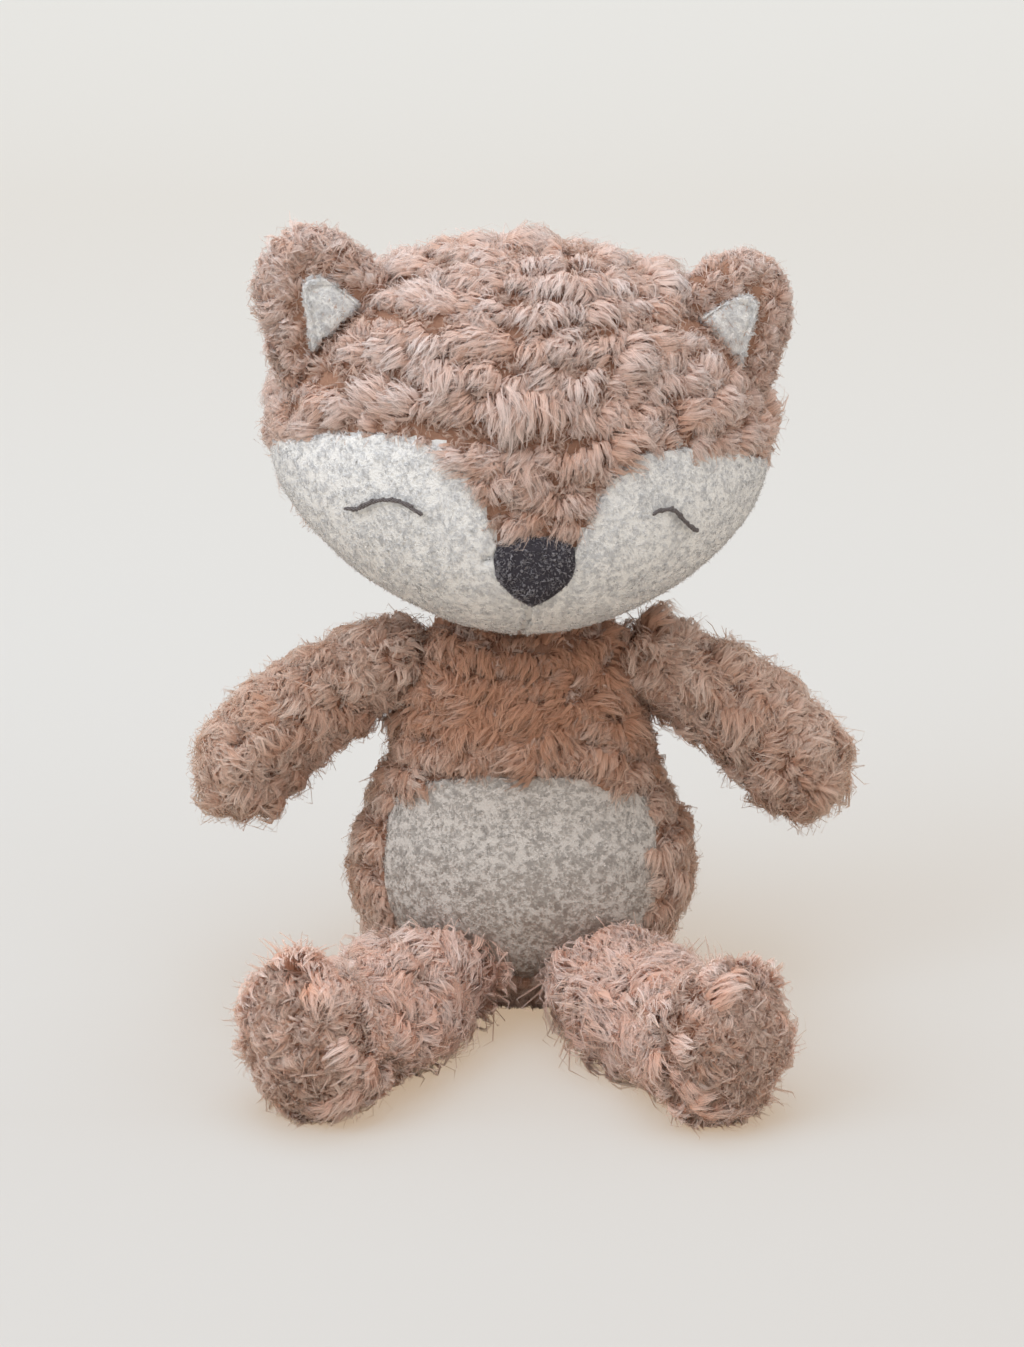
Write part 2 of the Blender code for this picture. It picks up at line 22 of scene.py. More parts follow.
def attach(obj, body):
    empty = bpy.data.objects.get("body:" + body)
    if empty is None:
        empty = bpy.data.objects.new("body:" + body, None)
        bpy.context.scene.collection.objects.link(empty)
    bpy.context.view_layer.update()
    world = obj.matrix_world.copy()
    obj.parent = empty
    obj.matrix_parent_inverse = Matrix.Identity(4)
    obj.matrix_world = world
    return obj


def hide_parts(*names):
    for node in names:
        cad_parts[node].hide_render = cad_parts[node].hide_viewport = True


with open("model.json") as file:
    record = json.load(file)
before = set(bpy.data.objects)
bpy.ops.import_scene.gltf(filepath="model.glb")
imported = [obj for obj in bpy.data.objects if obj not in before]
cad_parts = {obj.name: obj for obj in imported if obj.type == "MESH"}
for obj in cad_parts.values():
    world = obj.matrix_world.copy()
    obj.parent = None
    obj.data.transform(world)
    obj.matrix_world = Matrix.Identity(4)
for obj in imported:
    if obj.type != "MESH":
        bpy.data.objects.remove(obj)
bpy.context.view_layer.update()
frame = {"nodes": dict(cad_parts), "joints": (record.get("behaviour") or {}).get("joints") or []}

SIDES = {"left": 1, "right": -1}
joints = {joint["name"]: joint for joint in frame["joints"]}
neck = Vector(joints["head_turn"]["pos_m"])

# %% [markdown]
# ## Camera
# The picture looks down on the fox by about eighteen degrees, from about three and a half times the
# toy's height away, with a short telephoto lens. The aim is in the chest.

# %% Camera
camera = bpy.data.objects.new("camera", bpy.data.cameras.new("camera"))
bpy.context.collection.objects.link(camera)
camera.data.sensor_fit = "VERTICAL"
camera.data.sensor_height = 36
camera.data.lens = 74.5
camera.location = (-0.003, -0.86, 0.385)
aim = Vector((-0.003, 0, 0.1065))
camera.rotation_euler = (aim - camera.location).to_track_quat("-Z", "Y").to_euler()
bpy.context.scene.camera = camera
bpy.context.view_layer.update()

# %% [markdown]
# ## Shader maths as expressions
# A material here is a small tree of nodes. Wire wraps one output socket and lets it be added,
# multiplied and so on, each of which adds a Math node. Finish makes every other node with one
# method, mixes colours, and sets the Principled shader's own sockets.

# %% Wire and Finish
class Wire:
    """One output socket of a material, with arithmetic."""

    def __init__(self, finish, socket):
        self.finish, self.socket = finish, socket

    def maths(self, operation, *values):
        return self.finish.node("ShaderNodeMath", {"operation": operation}, dict(enumerate(values)))

    def __add__(self, other):
        return self.maths("ADD", self, other)

    def __sub__(self, other):
        return self.maths("SUBTRACT", self, other)

    def __mul__(self, other):
        return self.maths("MULTIPLY", self, other)

    def __pow__(self, other):
        return self.maths("POWER", self, other)


class Finish:
    """A material being made."""

    def __init__(self, name):
        self.material = bpy.data.materials.new(name)
        self.material.use_nodes = True
        self.tree = self.material.node_tree
        self.shader = self.tree.nodes["Principled BSDF"]

    def put(self, socket, value):
        if isinstance(value, Wire):
            self.tree.links.new(value.socket, socket)
        elif getattr(socket, "type", "") == "RGBA":
            socket.default_value = (*value[:3], 1)
        else:
            socket.default_value = value

    def node(self, kind, settings=None, values=None, out=0):
        made = self.tree.nodes.new(kind)
        for key, value in (settings or {}).items():
            if key == "stops":
                ramp = made.color_ramp.elements
                for spot, colour in value[2:]:
                    ramp.new(spot)
                for element, (spot, colour) in zip(ramp, value):
                    element.position, element.color = spot, (*colour, 1)
            else:
                setattr(made, key, value)
        for key, value in (values or {}).items():
            self.put(made.inputs[key], value)
        return Wire(self, made.outputs[out])

    def attribute(self, name):
        return self.node("ShaderNodeAttribute", {"attribute_name": name}, out="Fac")

    def place(self):
        return self.node("ShaderNodeTexCoord", out="Object")

    def speckle(self, scale, detail=2, roughness=0.5, vector=None):
        values = {"Scale": scale, "Detail": detail, "Roughness": roughness}
        values["Vector"] = vector or self.place()
        return self.node("ShaderNodeTexNoise", values=values, out="Fac")

    def share(self, value, start, end):
        """How far value has come from start to end, 0 to 1."""
        values = {"Value": value, "From Min": start, "From Max": end}
        return self.node("ShaderNodeMapRange", values=values)

    def mix(self, factor, first, second, way="MIX"):
        settings = {"data_type": "RGBA", "blend_type": way}
        return self.node("ShaderNodeMix", settings, {0: factor, 6: first, 7: second}, out=2)

    def ramp(self, factor, *stops):
        return self.node("ShaderNodeValToRGB", {"stops": stops}, {"Fac": factor}, out="Color")

    def bump(self, height, distance, strength=1.0):
        values = {"Height": height, "Distance": distance, "Strength": strength}
        return self.node("ShaderNodeBump", values=values, out="Normal")

    def as_fibres(self, colour, share, solid):
        """Let light through from behind, and leave nothing where solid is 0."""
        through = self.tree.nodes.new("ShaderNodeBsdfTranslucent")
        through.inputs["Color"].default_value = (*colour, 1)
        surface = self.tree.nodes["Principled BSDF"].outputs[0]
        gaps = self.tree.nodes.new("ShaderNodeBsdfTransparent").outputs[0]
        clamped = self.node("ShaderNodeClamp", values={"Value": solid})
        for factor, first, second in ((share, surface, through.outputs[0]), (clamped, gaps, None)):
            blend = self.tree.nodes.new("ShaderNodeMixShader")
            self.put(blend.inputs["Fac"], factor)
            self.tree.links.new(first, blend.inputs[1])
            self.tree.links.new(second or surface, blend.inputs[2])
            surface = blend.outputs[0]
        self.tree.links.new(surface, self.tree.nodes["Material Output"].inputs["Surface"])
        return self.material

    def shine(self, values):
        for key, value in values.items():
            self.put(self.shader.inputs[key], value)
        return self.material


def paint(red, green, blue):
    """A colour as a screen shows it, 0 to 255, turned into the light that it reflects."""
    return tuple(
        value / 12.92 if value <= 0.04045 else ((value + 0.055) / 1.055) ** 2.4
        for value in (red / 255, green / 255, blue / 255)
    )


# %% [markdown]
# ## Floor, backdrop and light
# The fox sits on a warm white surface that runs on to a paper backdrop. A window to the upper left
# gives the soft shadow to the right. A broad lamp overhead, a weak one from the right and the pale
# room fill the rest.

# %% Stage and lamps
def as_mesh(bm, name):
    """A smoothly shaded mesh, in exchange for the bmesh."""
    mesh = bpy.data.meshes.new(name)
    bm.to_mesh(mesh)
    bm.free()
    mesh.shade_smooth()
    return mesh


def stage_finish():
    """Paper lit by a painted glow that only the camera sees. Other rays meet plain paper."""
    finish = Finish("pale_paper")
    place = finish.place()
    away = finish.node("ShaderNodeSeparateXYZ", values={0: place}, out="Y")
    seen = finish.node("ShaderNodeLightPath", out="Is Camera Ray")
    # The camera sees a cooler paper than other rays do, under painted light: a warm glow in front, where it
    # lightens and warms the shadows, and a paler one further back, where the lamps reach less.
    colour = finish.mix(seen, paint(190, 180, 166), paint(124, 145, 160))
    length = finish.node("ShaderNodeVectorMath", {"operation": "LENGTH"}, {0: place}, out="Value")
    behind = finish.share(away, -0.1, 3.0) ** 0.65
    far = finish.node(
        "ShaderNodeMath", {"operation": "MAXIMUM"}, {0: behind, 1: finish.share(length, 0.6, 3.0)}
    )
    glow = finish.mix(seen, (0, 0, 0), finish.mix(far, (0.445, 0.31, 0.194), (0.655, 0.598, 0.535)))
    return finish.shine({
        "Base Color": colour, "Roughness": 0.9, "Specular IOR Level": 0.1,
        "Emission Color": glow, "Emission Strength": 1.0,
    })


def make_stage():
    """A flat sheet whose far edge is swept up into a wall."""
    bm = bmesh.new()
    bmesh.ops.create_grid(bm, x_segments=1, y_segments=1, size=3)
    far = [edge for edge in bm.edges if all(vert.co.y > 2.9 for vert in edge.verts)]
    bmesh.ops.translate(bm, verts=far[0].verts, vec=(0, -1.2, 0))
    steps, radius = 12, 1.2
    for step in range(steps):
        made = bmesh.ops.extrude_edge_only(bm, edges=far)["geom"]
        verts = [item for item in made if isinstance(item, bmesh.types.BMVert)]
        turn = math.pi / 2 * (step + 0.5) / steps
        stride = radius * math.pi / 2 / steps
        move = (0, stride * math.cos(turn), stride * math.sin(turn))
        bmesh.ops.translate(bm, verts=verts, vec=move)
        far = [item for item in made if isinstance(item, bmesh.types.BMEdge)]
    made = bmesh.ops.extrude_edge_only(bm, edges=far)["geom"]
    verts = [item for item in made if isinstance(item, bmesh.types.BMVert)]
    bmesh.ops.translate(bm, verts=verts, vec=(0, 0, 3))
    near = [vert for vert in bm.verts if vert.co.y < -2.9]
    bmesh.ops.translate(bm, verts=near, vec=(0, -11, 0))
    bmesh.ops.scale(bm, verts=bm.verts, vec=(4.5, 1, 1))
    bmesh.ops.recalc_face_normals(bm, faces=bm.faces)
    mesh = as_mesh(bm, "backdrop")
    mesh.materials.append(stage_finish())
    sheet = bpy.data.objects.new("backdrop", mesh)
    bpy.context.collection.objects.link(sheet)


def lamp(name, place, target, size, watts, colour):
    light = bpy.data.lights.new(name, "AREA")
    light.shape = "DISK"
    light.size, light.energy, light.color = size, watts, colour
    item = bpy.data.objects.new(name, light)
    bpy.context.collection.objects.link(item)
    item.location = place
    item.rotation_euler = (Vector(target) - Vector(place)).to_track_quat("-Z", "Y").to_euler()


make_stage()
lamp("window", (-1.1, -0.7, 1.15), (0, 0, 0.1), 1.1, 13, (0.93, 0.965, 1.0))
lamp("sky", (-0.1, 0.1, 1.7), (0, 0, 0.1), 1.6, 16, (0.92, 0.96, 1.0))
lamp("bounce", (1.2, -0.7, 0.8), (0, 0, 0.1), 1.2, 4, (1.0, 0.96, 0.92))
world = bpy.data.worlds.new("room")
world.use_nodes = True
fill = world.node_tree.nodes["Background"].inputs
fill["Color"].default_value = (1.0, 0.955, 0.90, 1)
fill["Strength"].default_value = 0.8
bpy.context.scene.world = world
bpy.context.scene.view_settings.view_transform = "Standard"

# %% [markdown]
# ## Finishes
# The pile has painted shade at each fibre's root, where light hardly reaches, and grows paler
# towards its tip. The strands carry two numbers for this: along, from root to tip, and across. Each
# tuft has a tone of its own, and fine streaks run along it, because every strand here stands for a
# bundle of fibres.

# %% Finish of the pile
def pile_finish(name, root, middle, tip, glow, streaks=0.9, patches=0.35, fibres=12.0, fray=1.0,
                tones=0.4, low_shade=None):
    """Streaked fibres that fray towards their tips; glow is the light that comes through them.

    The pile below a height of six centimetres can take on one more colour, fully at two centimetres:
    painted shade and warm bounce light. The tufts differ in tone by tones, and places on the cover
    by patches.
    """
    finish = Finish(name)
    root, middle, tip, glow = (paint(*colour) for colour in (root, middle, tip, glow))
    along, across, tone = (finish.attribute(key) for key in ("along", "across", "tone"))
    spot = finish.node(
        "ShaderNodeCombineXYZ",
        values={0: across * fibres + tone * 37.0, 1: along * 0.9 + tone * 5.0, 2: tone * 11.0},
    )
    streak = finish.speckle(1.0, 1.5, 0.5, spot)
    patch = finish.speckle(38, 2)
    height = along + (streak - 0.5) * streaks + (tone - 0.5) * tones + (patch - 0.5) * patches
    colour = finish.ramp(height, (0.0, root), (1.0, tip), (0.42, middle))
    # Painted shade and warm bounce: full below two centimetres, gone above six.
    if low_shade:
        level = finish.node("ShaderNodeSeparateXYZ", values={0: finish.place()}, out="Z")
        unshaded_share = finish.share(level, 0.02, 0.06)
        colour = finish.mix(1.0, colour, finish.mix(unshaded_share, paint(*low_shade), (1, 1, 1)), "MULTIPLY")
    finish.shine({
        "Base Color": colour, "Roughness": 0.85, "Specular IOR Level": 0.2,
        "Normal": finish.bump(streak, 0.0002, 0.4),
        "Sheen Weight": 0.3, "Sheen Roughness": 0.5, "Sheen Tint": tip,
    })
    edge = finish.node("ShaderNodeMath", {"operation": "PINGPONG"}, {0: across, 1: 1.0})
    solid = (streak - 0.5) * 12.0 + 2.5 - (along * 2.8 + edge ** 3 * 22.0) * fray
    return finish.as_fibres(glow, 0.45, solid)


def skin_finish(name, dark, light, grain):
    """The woven back that the pile stands on, seen only in the gaps."""
    finish = Finish(name)
    weave = finish.speckle(grain, 3, 0.6)
    colour = finish.mix(weave, paint(*dark), paint(*light))
    return finish.shine({
        "Base Color": colour, "Roughness": 0.95, "Specular IOR Level": 0.1,
        "Normal": finish.bump(weave, 0.0006, 0.7),
    })


plush = pile_finish(
    "plush_pile", (218, 182, 162), (250, 236, 230), (244, 243, 246), (249, 228, 217)
)
# The next finish is this plush painted darker and warmer, as painted shade and warm bounce on the torso, arms
# and neck; the one after it is painted lighter and warmer, as painted light on the legs.
body_plush = pile_finish(
    "body_plush_pile", (199, 158, 134), (240, 216, 201), (247, 239, 233), (240, 208, 187)
)
leg_plush = pile_finish(
    "leg_plush_pile", (230, 184, 158), (253, 232, 220), (249, 242, 242), (253, 226, 210)
)
# The undercoat is painted darker than the tufts, as painted shade between them.
undercoat_pile = pile_finish(
    "undercoat_pile", (138, 108, 94), (206, 174, 157), (240, 224, 215), (226, 194, 177),
    streaks=1.8, patches=0.8
)
curl_pile = pile_finish(
    "curl_pile", (196, 152, 126), (246, 224, 212), (248, 243, 240), (246, 214, 196)
)
fleece = pile_finish(
    "fleece_pile", (225, 226, 227), (230, 232, 234), (239, 240, 244),
    (234, 236, 239), 0.5, 0.1, 5.0, fray=0.5, tones=0.15
)
# The next finish is the face's fleece painted greyer and darker, as painted shade on the belly, with more
# painted shade and warm bounce low down.
shaded_belly_pile = pile_finish(
    "shaded_belly_pile", (189, 184, 180), (192, 188, 185), (201, 198, 196),
    (204, 197, 192), 0.5, 0.1, 5.0, fray=0.5, tones=0.15,
    low_shade=(222, 200, 186)
)
boucle = pile_finish(
    "boucle_pile", (90, 85, 90), (152, 147, 155), (222, 221, 230), (122, 116, 124)
)
# The plush's back is painted dark, as painted shade in the gaps between the tufts.
plush_back = skin_finish("plush_back", (128, 96, 80), (172, 136, 117), 900)
fleece_back = skin_finish("fleece_back", (226, 227, 228), (233, 234, 235), 1400)
# The belly's back, next, is the fleece's back painted darker, as painted shade on the belly.
shaded_belly_back = skin_finish("shaded_belly_back", (190, 185, 181), (197, 192, 188), 1400)
boucle_back = skin_finish("boucle_back", (40, 38, 43), (72, 70, 78), 1500)

# %% [markdown]
# ## Skins
# Each stuffed part is one closed, smooth skin. It starts from the measured solids of that part,
# joined, remeshed into even faces and smoothed, so it lies where the solids are.

# %% Remeshed skins
def new_piece(name, mesh, body, material, slot):
    item = bpy.data.objects.new(name, mesh)
    bpy.context.collection.objects.link(item)
    mesh.materials.clear()
    mesh.materials.append(material)
    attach(item, body)
    return item


def biggest_island(bm):
    """Delete everything but the largest connected surface."""
    left, best = set(bm.verts), []
    while left:
        start = left.pop()
        island, edge_of_search = [start], [start]
        while edge_of_search:
            vert = edge_of_search.pop()
            for edge in vert.link_edges:
                other = edge.other_vert(vert)
                if other in left:
                    left.discard(other)
                    island.append(other)
                    edge_of_search.append(other)
        if len(island) > len(best):
            best = island
    keep = set(best)
    bmesh.ops.delete(bm, geom=[vert for vert in bm.verts if vert not in keep], context="VERTS")


def solids_as_mesh(nodes):
    """The nodes in one mesh. A filling swells to meet its cover.

    The belly panel, made alone, swells too, because it is thinner than a remesh can follow.
    """
    bm = bmesh.new()
    for node in nodes:
        start = len(bm.verts)
        bm.from_mesh(frame["nodes"][node].data)
        bm.verts.ensure_lookup_table()
        bmesh.ops.remove_doubles(bm, verts=bm.verts[start:], dist=1e-6)
        swell = 0.0008 if node.endswith("_filling") and len(nodes) > 1 else 0
        if node == "belly_panel" and len(nodes) == 1:
            swell = 0.0005
        bm.verts.ensure_lookup_table()
        bm.normal_update()
        for vert in bm.verts[start:]:
            vert.co += vert.normal * swell
    return as_mesh(bm, "solids")


def smooth(bm, rounds, factor=0.5):
    for _ in range(rounds):
        bmesh.ops.smooth_vert(
            bm, verts=bm.verts, factor=factor, use_axis_x=True, use_axis_y=True, use_axis_z=True
        )


def remeshed(mesh, voxel, rounds=8):
    """An even, smoothed copy of a closed mesh's outer surface."""
    rough = bpy.data.objects.new("rough", mesh)
    bpy.context.collection.objects.link(rough)
    remesh = rough.modifiers.new("even", "REMESH")
    remesh.mode, remesh.voxel_size = "VOXEL", voxel
    made = bpy.data.meshes.new_from_object(
        rough.evaluated_get(bpy.context.evaluated_depsgraph_get())
    )
    bpy.data.objects.remove(rough)
    bm = bmesh.new()
    bm.from_mesh(made)
    biggest_island(bm)
    smooth(bm, rounds)
    bmesh.ops.recalc_face_normals(bm, faces=bm.faces)
    bm.to_mesh(made)
    bm.free()
    made.shade_smooth()
    return made


def tree_of(mesh):
    bm = bmesh.new()
    bm.from_mesh(mesh)
    tree = BVHTree.FromBMesh(bm)
    bm.free()
    return tree


SKINS = {
    "torso": ("torso", ["torso_cover", "belly_panel", "torso_filling", "pellet_bag"], 0.0030),
    "head": ("head", ["head_cover", "cheek_panel_left", "cheek_panel_right", "head_filling"], 0.0030),
    "neck": ("neck", ["neck_filling"], 0.0015),
    "tail": ("tail", ["tail_cover", "tail_tip", "tail_filling"], 0.0022),
}
for side_name in SIDES:
    SKINS["arm_" + side_name] = (
        "arm_" + side_name, ["arm_cover_" + side_name, "arm_filling_" + side_name], 0.0022
    )
    SKINS["leg_" + side_name] = (
        "leg_" + side_name,
        ["leg_cover_" + side_name, "sole_panel_" + side_name, "leg_filling_" + side_name], 0.0022,
    )
KEPT_APART = ("cheek_panel_left", "cheek_panel_right", "belly_panel")
skins, trees = {}, {}
for part, (body, nodes, voxel) in SKINS.items():
    mesh = remeshed(solids_as_mesh(nodes), voxel)
    skin = new_piece(part + "_skin", mesh, body, plush_back, "brown_plush")
    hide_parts(*[node for node in nodes if node not in KEPT_APART])
    0.8 if part in ("torso", "head") else 0.7
    skins[part], trees[part] = skin, tree_of(mesh)
    print(part, "skin", len(mesh.polygons), "faces")

# %% [markdown]
# ## White fleece panels
# The cheeks and the belly are separate pieces of fleece sewn into the plush. Each is remeshed from
# its own solid, and then laid on the skin, so its outline stays and its surface is smooth, with a
# few soft lumps.

# %% Panels laid on the skins
def laid_panel(node, body, under, thickness=0.0014, lumps=0.0008):
    """The panel's own outline, on the smooth skin under it."""
    mesh = remeshed(solids_as_mesh([node]), 0.0012, 2)
    bm = bmesh.new()
    bm.from_mesh(mesh)
    for _ in range(2):
        bm.normal_update()
        for vert in bm.verts:
            spot, out, _, _ = under.find_nearest(vert.co)
            if (spot - vert.co).length > 0.0022:
                continue
            outer = vert.normal.dot(out) > -0.4
            lump = noise.noise(spot * 70) * 0.5 + noise.noise(spot * 150) * 0.3
            vert.co = spot + out * (thickness + lumps * lump * 0.6 if outer else -thickness)
        smooth(bm, 3)
    bm.to_mesh(mesh)
    bm.free()
    mesh.shade_smooth()
    back = shaded_belly_back if body == "torso" else fleece_back
    panel = new_piece(node.replace("_panel", "_fleece"), mesh, body, back, "white_fleece")
    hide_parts(node)
    print(panel.name, len(mesh.polygons), "faces")
    return panel


panels = {"belly": laid_panel("belly_panel", "torso", trees["torso"])}
for side_name in SIDES:
    panels["cheek_" + side_name] = laid_panel("cheek_panel_" + side_name, "head", trees["head"])

# Where two panels meet, the skin under their seam is white too.
for part, plush_node in (("head", "head_cover"), ("torso", "torso_cover")):
    mesh = skins[part].data
    mesh.materials.append(shaded_belly_back if part == "torso" else fleece_back)
    choices = {name: tree_of(frame["nodes"][name].data) for name in SKINS[part][1][:3]
               if name == plush_node or name in KEPT_APART}
    for face in mesh.polygons:
        nearest = min(choices, key=lambda name: choices[name].find_nearest(face.center)[3])
        low = part == "torso" and face.center.y < -0.01
        low = low and abs(face.center.x) < (face.center.z - 0.011) * 1.1 and face.center.z < 0.03
        face.material_index = 0 if nearest == plush_node and not low else 1

# %% [markdown]
# ## One tuft
# Seen close, the plush is made of puffy tufts, each a fan of fine fibres that rises, billows and
# bends over. A tuft here is a fan of narrow ribbons, each a small bundle of fibres, and some
# hair-fine ones that stand clear of it, for its frayed edge. A few different tufts are made once,
# and copies of them cover the toy.

# %% Ribbons and tufts
def ribbon(bm, layers, path, width, face, steps, number, deep_shade):
    """A thin ribbon along path(share), drawn to a point, with painted shade where it lies deep."""
    along_layer, across_layer = layers
    grid = bmesh.ops.create_grid(bm, x_segments=1, y_segments=steps, size=0.5)
    for vert in grid["verts"]:
        across, along = vert.co.x * 2, vert.co.y + 0.5
        place, direction = path(along)
        side = direction.cross(face).normalized()
        broad = (0.6 + 1.6 * along * (1 - along)) * min(1, (1 - along) * 3.5)
        vert[along_layer], vert[across_layer] = along * deep_shade, across / 2 + number * 2
        vert.co = place + side * across * width / 2 * broad
    tips = [vert for vert in grid["verts"] if vert[along_layer] > 0.999 * deep_shade]
    bmesh.ops.pointmerge(bm, verts=tips, merge_co=tips[0].co)


def tuft(seed, bundles, hairs, length, width, spread, lift, end, wave, fan=0.7, stray=0.12,
         turns=1.1, steps=4, fine=0.00036, bow=0.8, shading=(0.7, 0.3, 0.3)):
    """A tuft that rises from the skin at lift degrees and bends over to end degrees along +X.

    Its fibres catch the light together, as the round puff that they make up.
    """
    dice = random.Random(seed)
    bm = bmesh.new()
    layers = (bm.verts.layers.float.new("along"), bm.verts.layers.float.new("across"))
    sway = dice.uniform(-0.3, 0.3)
    phases = dice.uniform(0, 2 * math.pi), dice.uniform(0, 2 * math.pi)
    for number in range(bundles + hairs):
        bundled = number < bundles
        beside = 2 * (number + 0.5) / bundles - 1 if bundled else dice.uniform(-1, 1)
        beside += dice.uniform(-0.2, 0.2)
        root = Vector((dice.uniform(-0.3, 0.3), beside * 0.6, 0)) * spread
        own_length = length * (dice.uniform(0.72, 1.0) if bundled else dice.uniform(0.75, 1.15))
        own_length *= 1 - 0.22 * beside * beside
        own_lift = math.radians(lift - 16 * beside * beside + dice.gauss(0, 7 if bundled else 13))
        own_end = math.radians(end + dice.gauss(0, 14 if bundled else 24))
        open_out = beside * fan
        own_stray = dice.gauss(0, stray if bundled else stray * 2.5)
        own_phases = [phase + dice.gauss(0, 0.4 if bundled else 0.7) for phase in phases]

        def path(share):
            place, direction, count = root.copy(), Vector((0, 0, 1)), 12
            for step in range(count):
                part = (step + 0.5) / count
                swing = 2 * math.pi * turns * part
                turn = sway + open_out * (1.3 - 2.9 * part) + own_stray
                turn += wave * math.sin(own_phases[0] + swing) * part
                pitch = own_lift + (own_end - own_lift) * part ** bow
                pitch += wave * 0.7 * math.sin(own_phases[1] + swing) * part
                direction = Vector((
                    math.cos(pitch) * math.cos(turn), math.cos(pitch) * math.sin(turn), math.sin(pitch)
                ))
                if part > share:
                    break
                place += direction * own_length / count
            return place, direction

        face = Vector((-0.5, beside * 1.1 + dice.gauss(0, 0.4), 1)).normalized()
        # A ribbon at the tuft's side lies deep: lower along numbers paint it darker, as painted shade.
        deep_shade = 1 - 0.3 * min(beside * beside, 1)
        own_width = width * dice.uniform(0.7, 1.3) if bundled else fine * dice.uniform(0.8, 1.3)
        own_steps = steps if bundled else max(steps - 1, 2)
        ribbon(bm, layers, path, own_width, face, own_steps, number, deep_shade)
    bmesh.ops.translate(bm, verts=bm.verts, vec=(0, 0, -0.0006))
    bmesh.ops.triangulate(bm, faces=bm.faces)
    bm.verts.index_update()
    bm.normal_update()
    points = np.array([vert.co[:] for vert in bm.verts])
    faces = np.array([[vert.index for vert in face.verts] for face in bm.faces])
    own = np.array([vert.normal[:] for vert in bm.verts])
    puff = points - points.mean(0) * (1, 1, 0.3)
    puff /= np.linalg.norm(puff, axis=1, keepdims=True) + 1e-9
    own *= np.sign((own * puff).sum(1, keepdims=True))
    normals = puff * shading[0] + own * shading[1] + (0, 0, shading[2])
    normals /= np.linalg.norm(normals, axis=1, keepdims=True) + 1e-9
    corners = points[faces]
    flat = np.cross(corners[:, 1] - corners[:, 0], corners[:, 2] - corners[:, 0])
    inwards = (flat * normals[faces].sum(1)).sum(1) < 0
    faces[inwards] = faces[inwards][:, ::-1]
    made = {
        "verts": points, "faces": faces, "normals": normals,
        "along": np.array([vert[layers[0]] for vert in bm.verts]),
        "across": np.array([vert[layers[1]] for vert in bm.verts]),
    }
    bm.free()
    return made


def kinds(count, **facts):
    """Different tufts of the same sort."""
    made = [tuft(seed=number + 1, **facts) for number in range(count)]
    print("tufts of", len(made[0]["faces"]), "triangles")
    return made


shaggy = kinds(
    10, bundles=20, hairs=18, length=0.0140, width=0.0015, spread=0.0050, lift=88, end=-60, wave=0.5,
    turns=1.0, bow=0.9,
)
rolled = kinds(
    12, bundles=23, hairs=20, length=0.0142, width=0.0016, spread=0.0062, lift=96, end=-105, wave=0.45,
    turns=0.9, bow=1.1, fan=0.6,
)
curly = kinds(
    10, bundles=18, hairs=16, length=0.0142, width=0.0014, spread=0.0042, lift=90, end=-85, wave=0.9,
    turns=1.3, stray=0.22, bow=0.95,
)
short_curls = kinds(
    8, bundles=10, hairs=8, length=0.0086, width=0.0011, spread=0.0028, lift=86, end=-95, wave=1.1,
    stray=0.35, turns=1.2,
)
ear_curls = kinds(
    8, bundles=12, hairs=10, length=0.0092, width=0.0012, spread=0.0032, lift=88, end=-100, wave=1.0,
    stray=0.3, turns=1.2,
)
undercoat = kinds(
    6, bundles=8, hairs=0, length=0.0078, width=0.0010, spread=0.0036, lift=78, end=-5, wave=0.9,
    stray=0.6, steps=3,
)
nap = kinds(
    9, bundles=6, hairs=2, length=0.0033, width=0.0007, spread=0.0015, lift=50, end=-10, wave=0.8,
    stray=0.7, steps=2, fine=0.0003, shading=(0.1, 0.0, 1.0),
)

# %% [markdown]
# ## Copies of the tufts
# Thousands of copies would be slow as objects, so each cover gets one mesh. A copy is the tuft's
# points, turned so that its Z stands on the skin and its X follows the comb.

# %% Stamp tufts on a skin
FLOOR_ROOM = 0.0002


